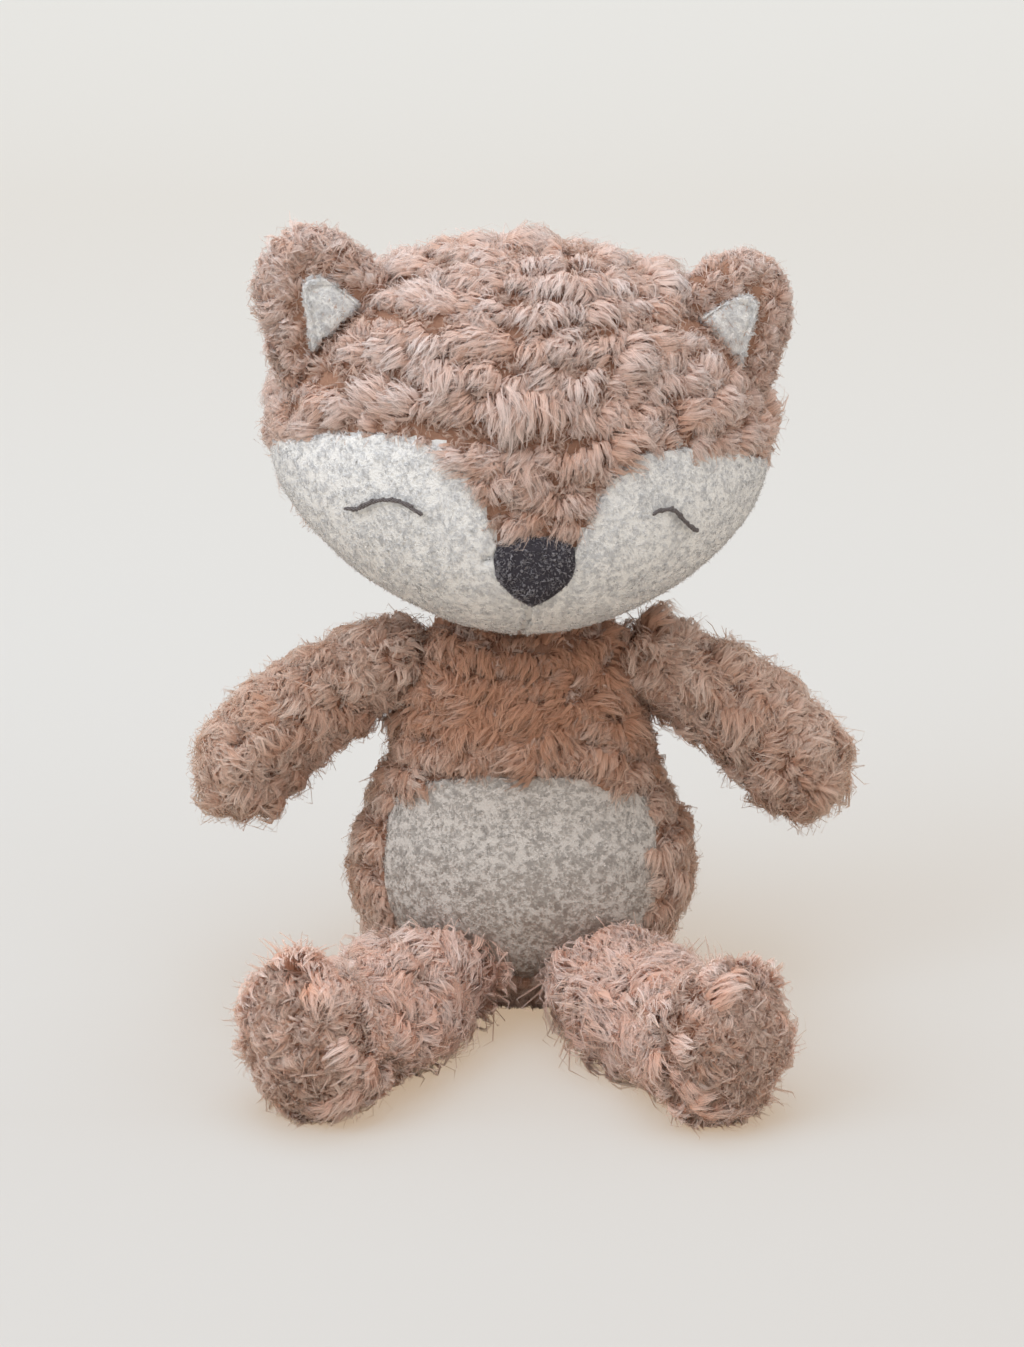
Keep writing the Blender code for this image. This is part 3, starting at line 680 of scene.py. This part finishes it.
def stamped(name, templates, places, body, material, slot="brown_plush"):
    """One mesh of a tuft at each (spot, normal, comb, size, tone)."""
    dice = random.Random(len(places))
    groups = {}
    for place in places:
        groups.setdefault(dice.randrange(len(templates)), []).append(place)
    points, faces, values, start = [], [], {"along": [], "across": [], "tone": []}, 0
    normals_of = []
    for number, group in sorted(groups.items()):
        template = templates[number]
        spots = np.array([place[0][:] for place in group])
        normals = np.array([place[1][:] for place in group])
        combs = np.array([place[2][:] for place in group])
        combs -= normals * (combs * normals).sum(1, keepdims=True)
        combs /= np.linalg.norm(combs, axis=1, keepdims=True) + 1e-9
        turns = np.stack([combs, np.cross(normals, combs), normals], 2)
        turns *= np.array([place[3] for place in group])[:, None, None]
        placed = np.einsum("kij,nj->kni", turns, template["verts"]) + spots[:, None]
        count = len(template["verts"])
        points.append(placed.reshape(-1, 3))
        shift = start + np.arange(len(group))[:, None, None] * count
        faces.append((template["faces"][None] + shift).reshape(-1, 3))
        leans = np.einsum("kij,nj->kni", turns, template["normals"]).reshape(-1, 3)
        normals_of.append(leans / np.linalg.norm(leans, axis=1, keepdims=True))
        for key in ("along", "across"):
            values[key].append(np.tile(template[key], len(group)))
        values["tone"].append(np.repeat([place[4] for place in group], count))
        start += count * len(group)
    points, faces = np.concatenate(points), np.concatenate(faces)
    points[:, 2] = np.maximum(points[:, 2], FLOOR_ROOM)
    mesh = bpy.data.meshes.new(name)
    mesh.vertices.add(len(points))
    mesh.vertices.foreach_set("co", points.ravel())
    mesh.loops.add(faces.size)
    mesh.loops.foreach_set("vertex_index", faces.ravel().astype(np.int32))
    mesh.polygons.add(len(faces))
    mesh.polygons.foreach_set("loop_start", np.arange(0, faces.size, 3, dtype=np.int32))
    for key, parts in values.items():
        layer = mesh.attributes.new(key, "FLOAT", "POINT")
        layer.data.foreach_set("value", np.concatenate(parts).astype(np.float32))
    mesh.update(calc_edges=True)
    mesh.shade_smooth()
    mesh.normals_split_custom_set_from_vertices(np.concatenate(normals_of).tolist())
    item = new_piece(name, mesh, body, material, slot)
    print(name, len(places), "tufts", len(faces), "triangles")
    return item


# %% [markdown]
# ## Rows
# The plush is woven in rows about eleven millimetres apart, and dark lines show between them. A row
# runs round a form like a line of latitude. Rays from the form's inside find the skin on it.

# %% Places in rows round a form
ROW_PITCH = 0.0110
SUB_ROWS = (-0.0011, 0.0011)


def rows_round(tree, pose, radii, core, pitch, gap, sub_rows, dice, jitter=0.25):
    """Places on a skin in rows round the pose's Z, with each place's row and its way down."""
    wide, deep, high = radii
    mean = (wide + deep) / 2
    bend = math.pi / 2 * (mean + high) / 2
    total = 2 * bend + core
    count = max(int(round(total / pitch)), 2)
    turn = pose.to_3x3()
    for row in range(count):
        for offset in sub_rows:
            s = (row + 0.5) * total / count + offset
            if s < bend:
                lean, level = -math.pi / 2 * (1 - s / bend), -core / 2
            elif s < bend + core:
                lean, level = 0, s - bend - core / 2
            else:
                lean, level = math.pi / 2 * (s - bend - core) / bend, core / 2
            ring = 2 * math.pi * mean * max(math.cos(lean), 0)
            places = max(int(round(ring / gap)), 1)
            start = dice.uniform(0, 2 * math.pi)
            for index in range(places):
                angle = start + 2 * math.pi * (index + dice.uniform(-jitter, jitter)) / places
                wobble = 0.045 * math.sin(2 * angle + row * 1.7) + 0.03 * math.sin(5 * angle + row * 2.9)
                wobble = (wobble + dice.gauss(0, 0.027)) * pitch / ROW_PITCH
                way = Vector((
                    wide * math.cos(lean) * math.cos(angle), deep * math.cos(lean) * math.sin(angle),
                    high * math.sin(lean + wobble),
                ))
                spot, out, _, _ = tree.ray_cast(pose @ Vector((0, 0, level)), (turn @ way).normalized())
                if spot is None:
                    continue
                down = turn @ Vector((0, 0, -1))
                around = down.cross(out)
                if around.length < 0.2:
                    around = (turn @ Vector((-math.sin(angle), math.cos(angle), 0)))
                around.normalize()
                down = out.cross(around).normalized()
                yield spot, out, down, around, row


def covering(places, rule, dice, sizes=(0.75, 1.28), swirl=0.9, scatter=0.45, patch=60):
    """Keep the places that rule allows, and comb each: mostly down, with swirls."""
    kept = []
    for spot, out, down, around, row in places:
        allowed = rule(spot, out)
        if not allowed:
            continue
        lean, size, shade = (*allowed, 0, 0)[:3] if isinstance(allowed, tuple) else (0, 1, 0)
        angle = lean + swirl * 2 * noise.noise(spot * patch + Vector((row * 3.1, 0, 0)))
        angle += dice.gauss(0, scatter)
        comb = down * math.cos(angle) + around * math.sin(angle)
        if dice.random() < 0.12:
            size *= 1.4
        kept.append((spot, out, comb, size * dice.uniform(*sizes), dice.random() + shade))
    return kept


def in_quarters(part, templates, places, material, to_part, middle):
    """Stamp a front and two halves of a back, which meet where Y is middle in the part's frame."""
    sides = {"front": [], "back_left": [], "back_right": []}
    for place in places:
        local = to_part @ place[0]
        back = "back_left" if local.x > 0 else "back_right"
        sides["front" if local.y < middle else back].append(place)
    for side_name, chosen in sides.items():
        stamped(part + "_pile_" + side_name, templates, chosen, part, material)


def nearest_node(point, node_trees):
    return min(node_trees, key=lambda name: node_trees[name].find_nearest(point)[3])


node_trees = {name: tree_of(item.data) for name, item in frame["nodes"].items()}


def near_joint(point, name, reach):
    return (point - Vector(joints[name]["pos_m"])).length < reach


# %% [markdown]
# ## Places anywhere on a surface
# Short pile needs no rows. Its places are scattered evenly, and each faces its own way.

# %% Scattered places
UNDERCOAT_GAP = 0.0040
NAP_GAP = 0.00132


def scattered(mesh, spacing, dice, rule=None):
    """Random places spread evenly over a mesh's faces."""
    mesh.calc_loop_triangles()
    for triangle in mesh.loop_triangles:
        expected = triangle.area / spacing ** 2
        count = int(expected) + (dice.random() < expected % 1)
        corners = [mesh.vertices[index] for index in triangle.vertices]
        for _ in range(count):
            first, second = sorted((dice.random(), dice.random()))
            shares = (first, second - first, 1 - second)
            spot = sum((vert.co * share for vert, share in zip(corners, shares)), Vector())
            out = sum((vert.normal * share for vert, share in zip(corners, shares)), Vector())
            out.normalize()
            if rule is None or rule(spot, out):
                yield spot, out


def combed(mesh, spacing, way, dice):
    """Scattered places whose way down is along way, as rows_round yields them."""
    for spot, out in scattered(mesh, spacing, dice):
        down = way - out * way.dot(out)
        down = down.normalized() if down.length > 0.15 else out.orthogonal().normalized()
        yield spot, out, down, down.cross(out), 0


def tufts(places, dice, sizes=(0.8, 1.25)):
    """Places that each face their own way, with a size and a tone."""
    kept = []
    for spot, out in places:
        comb = out.orthogonal().normalized()
        comb.rotate(Matrix.Rotation(dice.uniform(0, 2 * math.pi), 3, out))
        kept.append((spot, out, comb, dice.uniform(*sizes), dice.random()))
    return kept


def undercoated(name, mesh, body, spacing, rule, dice, sizes=(0.8, 1.25)):
    """Short, crinkled pile between the tufts, which hides the cover's back."""
    places = tufts(scattered(mesh, spacing, dice, rule), dice, sizes)
    stamped(name, undercoat, places, body, undercoat_pile)


# %% [markdown]
# ## Ears
# An ear is a padded flap, squarer at its outer top corner and sloped towards the crown. Tight curls
# cover its back and its rim, longest at the outer edge. A fleece lining lies in its front, with a
# straight outer edge and a folded hem that stands up a little from it.

# %% Ears
# The ears' places and angles are in the head's own frame, which is turned and rolled a little.
HEAD_ROLL, HEAD_YAW = math.radians(3.8), math.radians(6)
HEAD_MIDDLE = (-0.004, 0.001, 0.053)
EAR_HALF_WIDTH, EAR_HEIGHT = 0.0215, 0.029
EAR_OUT, EAR_BACK, EAR_UP = 0.0592, -0.012, 0.039
EAR_SPREAD = math.radians(11)
LEFT_EAR_IN = 0.0030
head_turn = Euler((0, HEAD_ROLL, HEAD_YAW)).to_matrix().to_4x4()
head_pose = Matrix.Translation(neck) @ head_turn @ Matrix.Translation(HEAD_MIDDLE)
to_head = head_pose.inverted()
lining_trees = {}


def shaped_ear(mesh, to_ear, side):
    """Push the outer top corner out and slope the inner one."""
    back = to_ear.inverted()
    for vert in mesh.vertices:
        local = to_ear @ vert.co
        u, v = side * local.x / EAR_HALF_WIDTH, local.z / EAR_HEIGHT
        if v > 0:
            corner, slope = max(u + v - 0.95, 0), max(v - u - 0.8, 0)
            local.x += side * ((0.0085 if side < 0 else 0.004) * corner + slope * 0.0035)
            local.z += corner * 0.0060 - slope * 0.0065
        if side > 0:
            local.x -= LEFT_EAR_IN
        vert.co = back @ local


def ear_lining(under, ear_pose, side):
    """A rounded triangle of fleece on the ear's front: hem, groove and a padded middle."""
    columns, rows = 26, 34
    way = (ear_pose.to_3x3() @ Vector((0, 1, 0))).normalized()
    bm = bmesh.new()
    grid = bmesh.ops.create_grid(bm, x_segments=columns, y_segments=rows, size=0.5)
    lost = []
    for vert in grid["verts"]:
        u, v = vert.co.x * 2, vert.co.y * 2
        corner = 1 - 0.10 * (u * u * v * v)
        low = min(max((v + 1) / 2, 0), 1)
        inner = -0.0150 + 0.0165 * low ** 2.6
        outer = 0.0105 - 0.0040 * max(0.25 - low, 0) / 0.25
        x = (inner + outer) / 2 + u * (outer - inner) / 2 * corner
        z = (v * 0.0200) * corner - 0.0040 + (0.0010 if v > 0 else 0) * (1 - u * u)
        edge = min(1 - abs(u), (1 - abs(v)) * 1.25)
        rise = 0.0012 + 0.0008 * math.exp(-((edge - 0.10) / 0.07) ** 2)
        rise += -0.0007 * math.exp(-((edge - 0.24) / 0.05) ** 2) + 0.0008 * min(edge, 0.6)
        start = ear_pose @ Vector((side * x - (LEFT_EAR_IN if side > 0 else 0), -0.05, z))
        spot, _, _, reach = under.ray_cast(start, way)
        # A hit further back than this isn't the ear's front.
        if spot is None or reach >= 0.052:
            lost.append(vert)
        else:
            vert.co = spot - way * (rise if edge > 0.001 else -0.0004)
    bmesh.ops.delete(bm, geom=lost, context="VERTS")
    smooth(bm, 1, 0.4)
    bmesh.ops.recalc_face_normals(bm, faces=bm.faces)
    middle = sum((face.normal for face in bm.faces), Vector())
    if middle.dot(ear_pose.to_3x3() @ Vector((0, -1, 0))) < 0:
        bmesh.ops.reverse_faces(bm, faces=bm.faces)
    # The sheet is closed by a copy behind it and a wall round its edge. They are written out here,
    # because Blender's extrusion makes the wall in another order each time, and the nap's random
    # places follow the order of the faces.
    bm.verts.index_update()
    count = len(bm.verts)
    points = [vert.co.copy() for vert in bm.verts]
    points += [point + way * 0.0008 for point in points]
    front = [[vert.index for vert in face.verts] for face in bm.faces]
    back = [[index + count for index in reversed(face)] for face in front]
    wall = []
    for edge in bm.edges:
        if edge.is_boundary:
            loop = edge.link_loops[0]
            first, second = loop.vert.index, loop.link_loop_next.vert.index
            wall.append([second, first, first + count, second + count])
    bm.free()
    mesh = bpy.data.meshes.new("ear_lining")
    mesh.from_pydata(points, [], front + back + wall)
    mesh.shade_smooth()
    return mesh


for number, (side_name, side) in enumerate(SIDES.items()):
    tilt = Euler((0, side * EAR_SPREAD, 0)).to_matrix().to_4x4()
    ear_pose = head_pose @ Matrix.Translation((side * EAR_OUT, EAR_BACK, EAR_UP)) @ tilt
    to_ear = ear_pose.inverted()
    mesh = remeshed(solids_as_mesh(["ear_cover_" + side_name]), 0.0013, 6)
    shaped_ear(mesh, to_ear, side)
    ear = new_piece("ear_skin_" + side_name, mesh, "head", plush_back, "brown_plush")
    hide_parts("ear_cover_" + side_name)
    lining_mesh = ear_lining(tree_of(mesh), ear_pose, side)
    lining = new_piece("ear_fleece_" + side_name, lining_mesh, "head", fleece_back, "white_fleece")
    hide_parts("ear_lining_" + side_name)
    dice = random.Random(60 + number)
    lining_tree = lining_trees[side_name] = tree_of(lining_mesh)

    def free(spot, out):
        near = lining_tree.find_nearest(spot)[3]
        inside = trees["head"].find_nearest(spot)
        buried = (spot - inside[0]).dot(inside[1]) < 0.0005
        return near > 0.0017 and not buried

    places = []
    for spot, out, comb, size, tone in tufts(scattered(mesh, 0.0029, dice, free), dice, (0.75, 1.1)):
        local = to_ear @ spot
        outward = ear_pose.to_3x3() @ Vector((side * 0.7 + local.x / 0.03, 0, local.z / 0.03))
        comb = (comb * 0.8 + outward.normalized()).normalized()
        rim = min(abs(local.x) / EAR_HALF_WIDTH + max(local.z, 0) / EAR_HEIGHT, 1.2)
        size *= 0.9 + (0.5 if side < 0 else 0.25) * rim * (1 if side * local.x > -0.006 else 0.6)
        places.append((spot, out, comb, size, tone))
    stamped("ear_pile_" + side_name, ear_curls, places, "head", plush)
    undercoated(
        "ear_undercoat_" + side_name, mesh, "head", 0.0030,
        lambda spot, out: lining_tree.find_nearest(spot)[3] > 0.0006, dice, (0.5, 0.7),
    )
    places = tufts(
        scattered(lining_mesh, NAP_GAP, dice, lambda spot, out: (to_ear.to_3x3() @ out).y < -0.2), dice,
        (0.7, 1.0),
    )
    stamped("ear_nap_" + side_name, nap, places, "head", fleece, "white_fleece")

# %% [markdown]
# ## Plush of the head
# Brown plush covers the crown, the bridge and the back. It is shortest on the bridge, near the
# nose, and combed outwards from the middle of the face.

# %% Head pile
head_nodes = {name: node_trees[name] for name in ("head_cover", "cheek_panel_left", "cheek_panel_right")}


def on_head(spot, out):
    """Shorter on the bridge, below the ears and by the cheeks, and combed out from the face's middle."""
    local = to_head @ spot
    nearest = [tree.find_nearest(spot) for tree in lining_trees.values()]
    lining, _, _, apart = min(nearest, key=lambda hit: hit[3])
    if (spot - neck).length < 0.013 or apart < 0.0042 or nearest_node(spot, head_nodes) != "head_cover":
        return False
    ahead = local.y < 0
    beside = min(abs(local.x) / 0.03, 1)
    size = 0.62 + 0.38 * min(max((local.z + 0.022) / 0.03, 0), 1) if ahead else 1
    lean = -math.copysign(beside, local.x) if ahead else 0
    if apart < 0.010 or apart < 0.016 and spot.z < lining.z:
        size *= 0.55
        lean *= 0.3
    cheek = min(node_trees["cheek_panel_" + name].find_nearest(spot)[3] for name in SIDES)
    if cheek < 0.006 and beside == 1:
        size *= 0.8
    # Low on the middle of the face, towards the nose, the tufts take a darker tone.
    deep = min(max((0.024 - local.z) / 0.03, 0), 1) * (1 - beside) if ahead else 0
    return lean, size, -0.5 * deep


dice = random.Random(11)
head_places = covering(
    rows_round(trees["head"], head_pose, (0.078, 0.052, 0.057), 0, ROW_PITCH, 0.0054, SUB_ROWS, dice),
    on_head, dice,
)
in_quarters("head", rolled + curly[:5] + shaggy[:4], head_places, plush, to_head, -0.008)
down = to_head.inverted().to_3x3() @ Vector((0, 0, -1))
filling = covering(combed(skins["head"].data, 0.0088, down, dice), on_head, dice, (0.6, 0.85))
stamped("head_pile_filling", curly, filling, "head", plush)
undercoated(
    "head_undercoat", skins["head"].data, "head", UNDERCOAT_GAP,
    lambda spot, out: nearest_node(spot, head_nodes) == "head_cover", dice,
)

# %% [markdown]
# ## Plush of the torso
# The rows run level round the body. Some tufts hang over the top of the belly panel. None grow
# where a limb or the neck is sewn on.

# %% Torso pile
torso_nodes = {name: node_trees[name] for name in ("torso_cover", "belly_panel")}
ROOTS = {"shoulder_left": 0.0105, "shoulder_right": 0.0105, "hip_left": 0.0135, "hip_right": 0.0135,
         "tail_swing": 0.009, "head_turn": 0.0115}


def under_belly(spot):
    """The fleece's lower end, which reaches down between the legs."""
    return spot.y < -0.01 and abs(spot.x) < (spot.z - 0.012) * 1.1 and spot.z < 0.03


def on_torso(spot, out):
    if nearest_node(spot, torso_nodes) != "torso_cover":
        return False
    if any(near_joint(spot, name, reach) for name, reach in ROOTS.items()):
        return False
    if spot.z < 0.0025 or under_belly(spot):
        return False
    # Up the chest, under the head, the tufts take a darker tone: painted shade from the head above.
    chest = min(max((spot.z - 0.072) / 0.03, 0), 1) if spot.y < 0.01 else 0
    return 0, 0.88, -1.3 * chest


dice = random.Random(12)
torso_pose = Matrix.Translation((0, 0, 0.066))
torso_places = covering(
    rows_round(
        trees["torso"], torso_pose, (0.050, 0.040, 0.040), 0.052, ROW_PITCH, 0.0047, SUB_ROWS, dice
    ),
    on_torso, dice,
)

# The broad seat spreads its rows apart, so more tufts stand round its edge.
EDGE_TUFTS = 52
for level in (0.004, 0.009, 0.014):
    for index in range(EDGE_TUFTS):
        angle = 2 * math.pi * (index + dice.random()) / EDGE_TUFTS
        way = Vector((math.cos(angle), math.sin(angle), 0))
        start = Vector((0, 0, level + dice.uniform(-0.001, 0.001)))
        spot, out, _, _ = trees["torso"].ray_cast(start, way)
        if spot is not None and on_torso(spot, out):
            around = Vector((-way.y, way.x, 0))
            comb = (out.cross(around) * -1 + around * dice.gauss(0, 0.4)).normalized()
            if comb.z > 0:
                comb.negate()
            torso_places.append((spot, out, comb, dice.uniform(0.6, 0.85), dice.random()))

in_quarters("torso", rolled + curly[:4] + shaggy[:4], torso_places, body_plush, Matrix(), 0)
undercoated("torso_undercoat", skins["torso"].data, "torso", UNDERCOAT_GAP, on_torso, dice)

# A collar of shorter pile on the neck, which turns with the head.
dice = random.Random(13)
places = covering(
    rows_round(trees["neck"], Matrix.Translation(neck), (0.012, 0.012, 0.012), 0, 0.004, 0.004, (0,), dice),
    lambda spot, out: (0, 0.7), dice,
)
stamped("neck_pile", shaggy, places, "neck", body_plush)

# %% [markdown]
# ## Plush of the limbs and tail
# The arms are curlier than the body. The legs have longer, combed tufts, and the soles short, dense
# curls. The tail has tufts like the legs' and a white tip.

# %% Limb piles
def pose_along(start, direction, middle):
    """A pose whose Z runs along a limb, at a distance from its joint."""
    turn = direction.to_track_quat("Z", "Y").to_matrix().to_4x4()
    return Matrix.Translation(start + direction * middle) @ turn


def mean_direction(part, joint):
    mesh = skins[part].data
    middle = sum((vert.co for vert in mesh.vertices), Vector()) / len(mesh.vertices)
    return (middle - Vector(joints[joint]["pos_m"])).normalized()


def far_from_root(joint, reach):
    return lambda spot, out: not near_joint(spot, joint, reach)


for number, (side_name, side) in enumerate(SIDES.items()):
    part = "arm_" + side_name
    joint = "shoulder_" + side_name
    dice = random.Random(20 + number)
    start = Vector(joints[joint]["pos_m"])
    pose = pose_along(start, mean_direction(part, joint), 0.035)
    places = covering(
        rows_round(trees[part], pose, (0.015, 0.015, 0.015), 0.058, 0.0050, 0.0040, (0,), dice, 0.4),
        lambda spot, out: (math.pi, 1) if not near_joint(spot, joint, 0.005) else False, dice,
        swirl=1.4, scatter=0.8,
    )
    stamped("arm_pile_" + side_name, curly, places, part, body_plush)
    undercoated(
        "arm_undercoat_" + side_name, skins[part].data, part, UNDERCOAT_GAP,
        far_from_root(joint, 0.004), dice,
    )

    part = "leg_" + side_name
    joint = "hip_" + side_name
    dice = random.Random(30 + number)
    start = Vector(joints[joint]["pos_m"])
    sole = node_trees["sole_panel_" + side_name]
    covers = {"sole": sole, "cover": node_trees["leg_cover_" + side_name]}
    every = list(combed(skins[part].data, 0.0050, -mean_direction(part, joint), dice))

    def on_leg(spot, out):
        """Shorter round the sole and at the foot's outer side, longest inside the thigh."""
        if near_joint(spot, joint, 0.009) or nearest_node(spot, covers) != "cover":
            return False
        away = (spot - start).length
        inwards = max(-side * out.x, 0)
        size = 1 + (0.95 if side > 0 else 0.75) * inwards * min(max(1.6 - away / 0.028, 0), 1)
        if side > 0:
            size -= 0.35 * max(out.x, 0) * min(max(away / 0.04 - 1, 0), 1)
        if sole.find_nearest(spot)[3] < 0.006:
            size *= 0.8
        return math.pi, size

    places = covering(every, on_leg, dice)
    stamped("leg_pile_" + side_name, shaggy, places, part, leg_plush)
    undercoated(
        "leg_undercoat_" + side_name, skins[part].data, part, 0.0029, far_from_root(joint, 0.009), dice
    )
    tight = combed(skins[part].data, 0.0030, Vector((0, 0, -1)), dice)
    places = covering(
        tight, lambda spot, out: nearest_node(spot, covers) == "sole", dice, (1.0, 1.7), swirl=3, scatter=2
    )
    stamped("sole_pile_" + side_name, short_curls, places, part, curl_pile)

dice = random.Random(41)
start = Vector(joints["tail_swing"]["pos_m"])
pose = pose_along(start, mean_direction("tail", "tail_swing"), 0.036)
every = list(rows_round(trees["tail"], pose, (0.016, 0.016, 0.016), 0.054, 0.0060, 0.0044, (0,), dice))
tail_nodes = {name: node_trees[name] for name in ("tail_cover", "tail_tip")}
for name, node, material, slot in (
    ("tail_pile", "tail_cover", plush, "brown_plush"), ("tail_tip_pile", "tail_tip", fleece, "white_fleece"),
):
    places = covering(
        every, lambda spot, out: (math.pi, 1) if not near_joint(spot, "tail_swing", 0.009)
        and nearest_node(spot, tail_nodes) == node else False, dice, swirl=0.7,
    )
    stamped(name, shaggy, places, "tail", material, slot)

# Its root is a ball in the torso, and the part that a swing brings into view is covered too.
outwards = mean_direction("tail", "tail_swing")
undercoated(
    "tail_undercoat", skins["tail"].data, "tail", 0.0030,
    lambda spot, out: near_joint(spot, "tail_swing", 0.020) and out.dot(outwards) > -0.2, dice,
)

# %% [markdown]
# ## Nap of the fleece
# The fleece is short and felted: hair-fine curls a couple of millimetres long that lie every way.

# %% Nap
for number, (name, panel) in enumerate(panels.items()):
    body = "torso" if name == "belly" else "head"
    under = trees[body]
    dice = random.Random(50 + number)

    def outside(spot, out):
        return out.dot(under.find_nearest(spot)[1]) > 0.2

    places = tufts(scattered(panel.data, NAP_GAP, dice, outside), dice, (0.65, 0.95))
    if name == "belly":
        places += tufts(
            scattered(skins["torso"].data, NAP_GAP, dice, lambda spot, out: under_belly(spot)
                      and nearest_node(spot, torso_nodes) == "torso_cover"), dice)
    stamped(name + "_nap", nap, places, body, shaded_belly_pile if name == "belly" else fleece, "white_fleece")

# %% [markdown]
# ## Nose
# A pad of charcoal boucle: yarn in tight little loops, with lighter flecks.

# %% Nose
mesh = remeshed(solids_as_mesh(["nose_pad"]), 0.0008, 6)
nose = new_piece("nose_skin", mesh, "head", boucle_back, "charcoal_boucle")
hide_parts("nose_pad")
loops = kinds(
    6, bundles=5, hairs=3, length=0.0036, width=0.0006, spread=0.0009, lift=85, end=-120, wave=1.0,
    stray=0.6,
)
dice = random.Random(71)
places = tufts(
    scattered(mesh, 0.0011, dice, lambda spot, out: (to_head.to_3x3() @ out).y < 0.5), dice, (0.7, 1.1)
)
stamped("nose_loops", loops, places, "head", boucle, "charcoal_boucle")

# %% [markdown]
# ## Eyes
# Each closed eye is a line of dark grey stitches, sunk a little in the fleece. The line's points
# are where the camera's rays through the picture meet the cheek.

# %% Eye stitches
thread = Finish("eye_thread")
ply = thread.node(
    "ShaderNodeTexWave", {"wave_type": "BANDS", "bands_direction": "DIAGONAL"},
    {"Vector": thread.place(), "Scale": 900, "Distortion": 1.5, "Detail": 1}, out="Fac",
)
thread.shine({
    "Base Color": thread.mix(ply, paint(62, 57, 60), paint(118, 112, 114)),
    "Roughness": 0.6, "Normal": thread.bump(ply, 0.0003, 0.7), "Sheen Weight": 0.1,
})
STITCH = 0.0021
PICTURE_WIDTH, PICTURE_HEIGHT = 1024, 1347
EYES = {
    "right": (
        (348, 505), (358, 508), (366, 504), (374, 499.5),
        (386, 498), (401, 499.5), (414, 506), (423, 514),
    ),
    "left": ((650, 512), (658, 509), (672, 508), (680, 518), (689, 526.5), (694, 528.6)),
}


def through_picture(across, down):
    """The camera's ray through a point of the picture."""
    scale = camera.data.sensor_height
    x = (across - PICTURE_WIDTH / 2) / PICTURE_HEIGHT * scale
    y = (PICTURE_HEIGHT / 2 - down) / PICTURE_HEIGHT * scale
    way = camera.matrix_world.to_3x3() @ Vector((x, y, -camera.data.lens))
    return camera.matrix_world.translation, way.normalized()


for side_name, line in EYES.items():
    cheek = tree_of(panels["cheek_" + side_name].data)
    spots = [cheek.ray_cast(*through_picture(*point))[:2] for point in line]
    lengths = [0.0]
    for (first, _), (second, _) in zip(spots, spots[1:]):
        lengths.append(lengths[-1] + (second - first).length)

    def on_line(distance):
        for index in range(len(spots) - 1):
            if distance <= lengths[index + 1] or index == len(spots) - 2:
                share = (distance - lengths[index]) / (lengths[index + 1] - lengths[index])
                return spots[index][0].lerp(spots[index + 1][0], share), spots[index][1]

    bm = bmesh.new()
    dice = random.Random(81)
    count, reach = 0, 0.0
    while reach < lengths[-1]:
        end = min(reach + STITCH, lengths[-1])
        first, out = on_line(reach)
        last, _ = on_line(end)
        along = (last - first).normalized()
        side = out.cross(along).normalized()
        up = along.cross(side)
        turn = Matrix((along, side, up)).transposed().to_4x4()
        size = Matrix.Diagonal((
            (last - first).length * dice.uniform(0.58, 0.74), 0.00062 * dice.uniform(0.85, 1.2), 0.00055, 1
        ))
        slant = Matrix.Rotation(dice.uniform(0.15, 0.55), 4, "Z")
        middle = (first + last) / 2 + out * 0.0019 + side * dice.gauss(0, 0.00012)
        bmesh.ops.create_uvsphere(
            bm, u_segments=10, v_segments=8, radius=1, matrix=Matrix.Translation(middle) @ turn @ slant @ size
        )
        reach += STITCH * 0.6
        count += 1
    mesh = as_mesh(bm, "eye_thread_" + side_name)
    eye = new_piece("eye_thread_" + side_name, mesh, "head", thread.material, "eye_thread")
    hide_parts("eye_stitch_" + side_name)
    print("eye", side_name, count, "stitches")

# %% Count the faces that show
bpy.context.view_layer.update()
shown = [item for item in bpy.data.objects if item.type == "MESH" and not item.hide_render]
print("faces that show", sum(len(item.data.polygons) for item in shown))
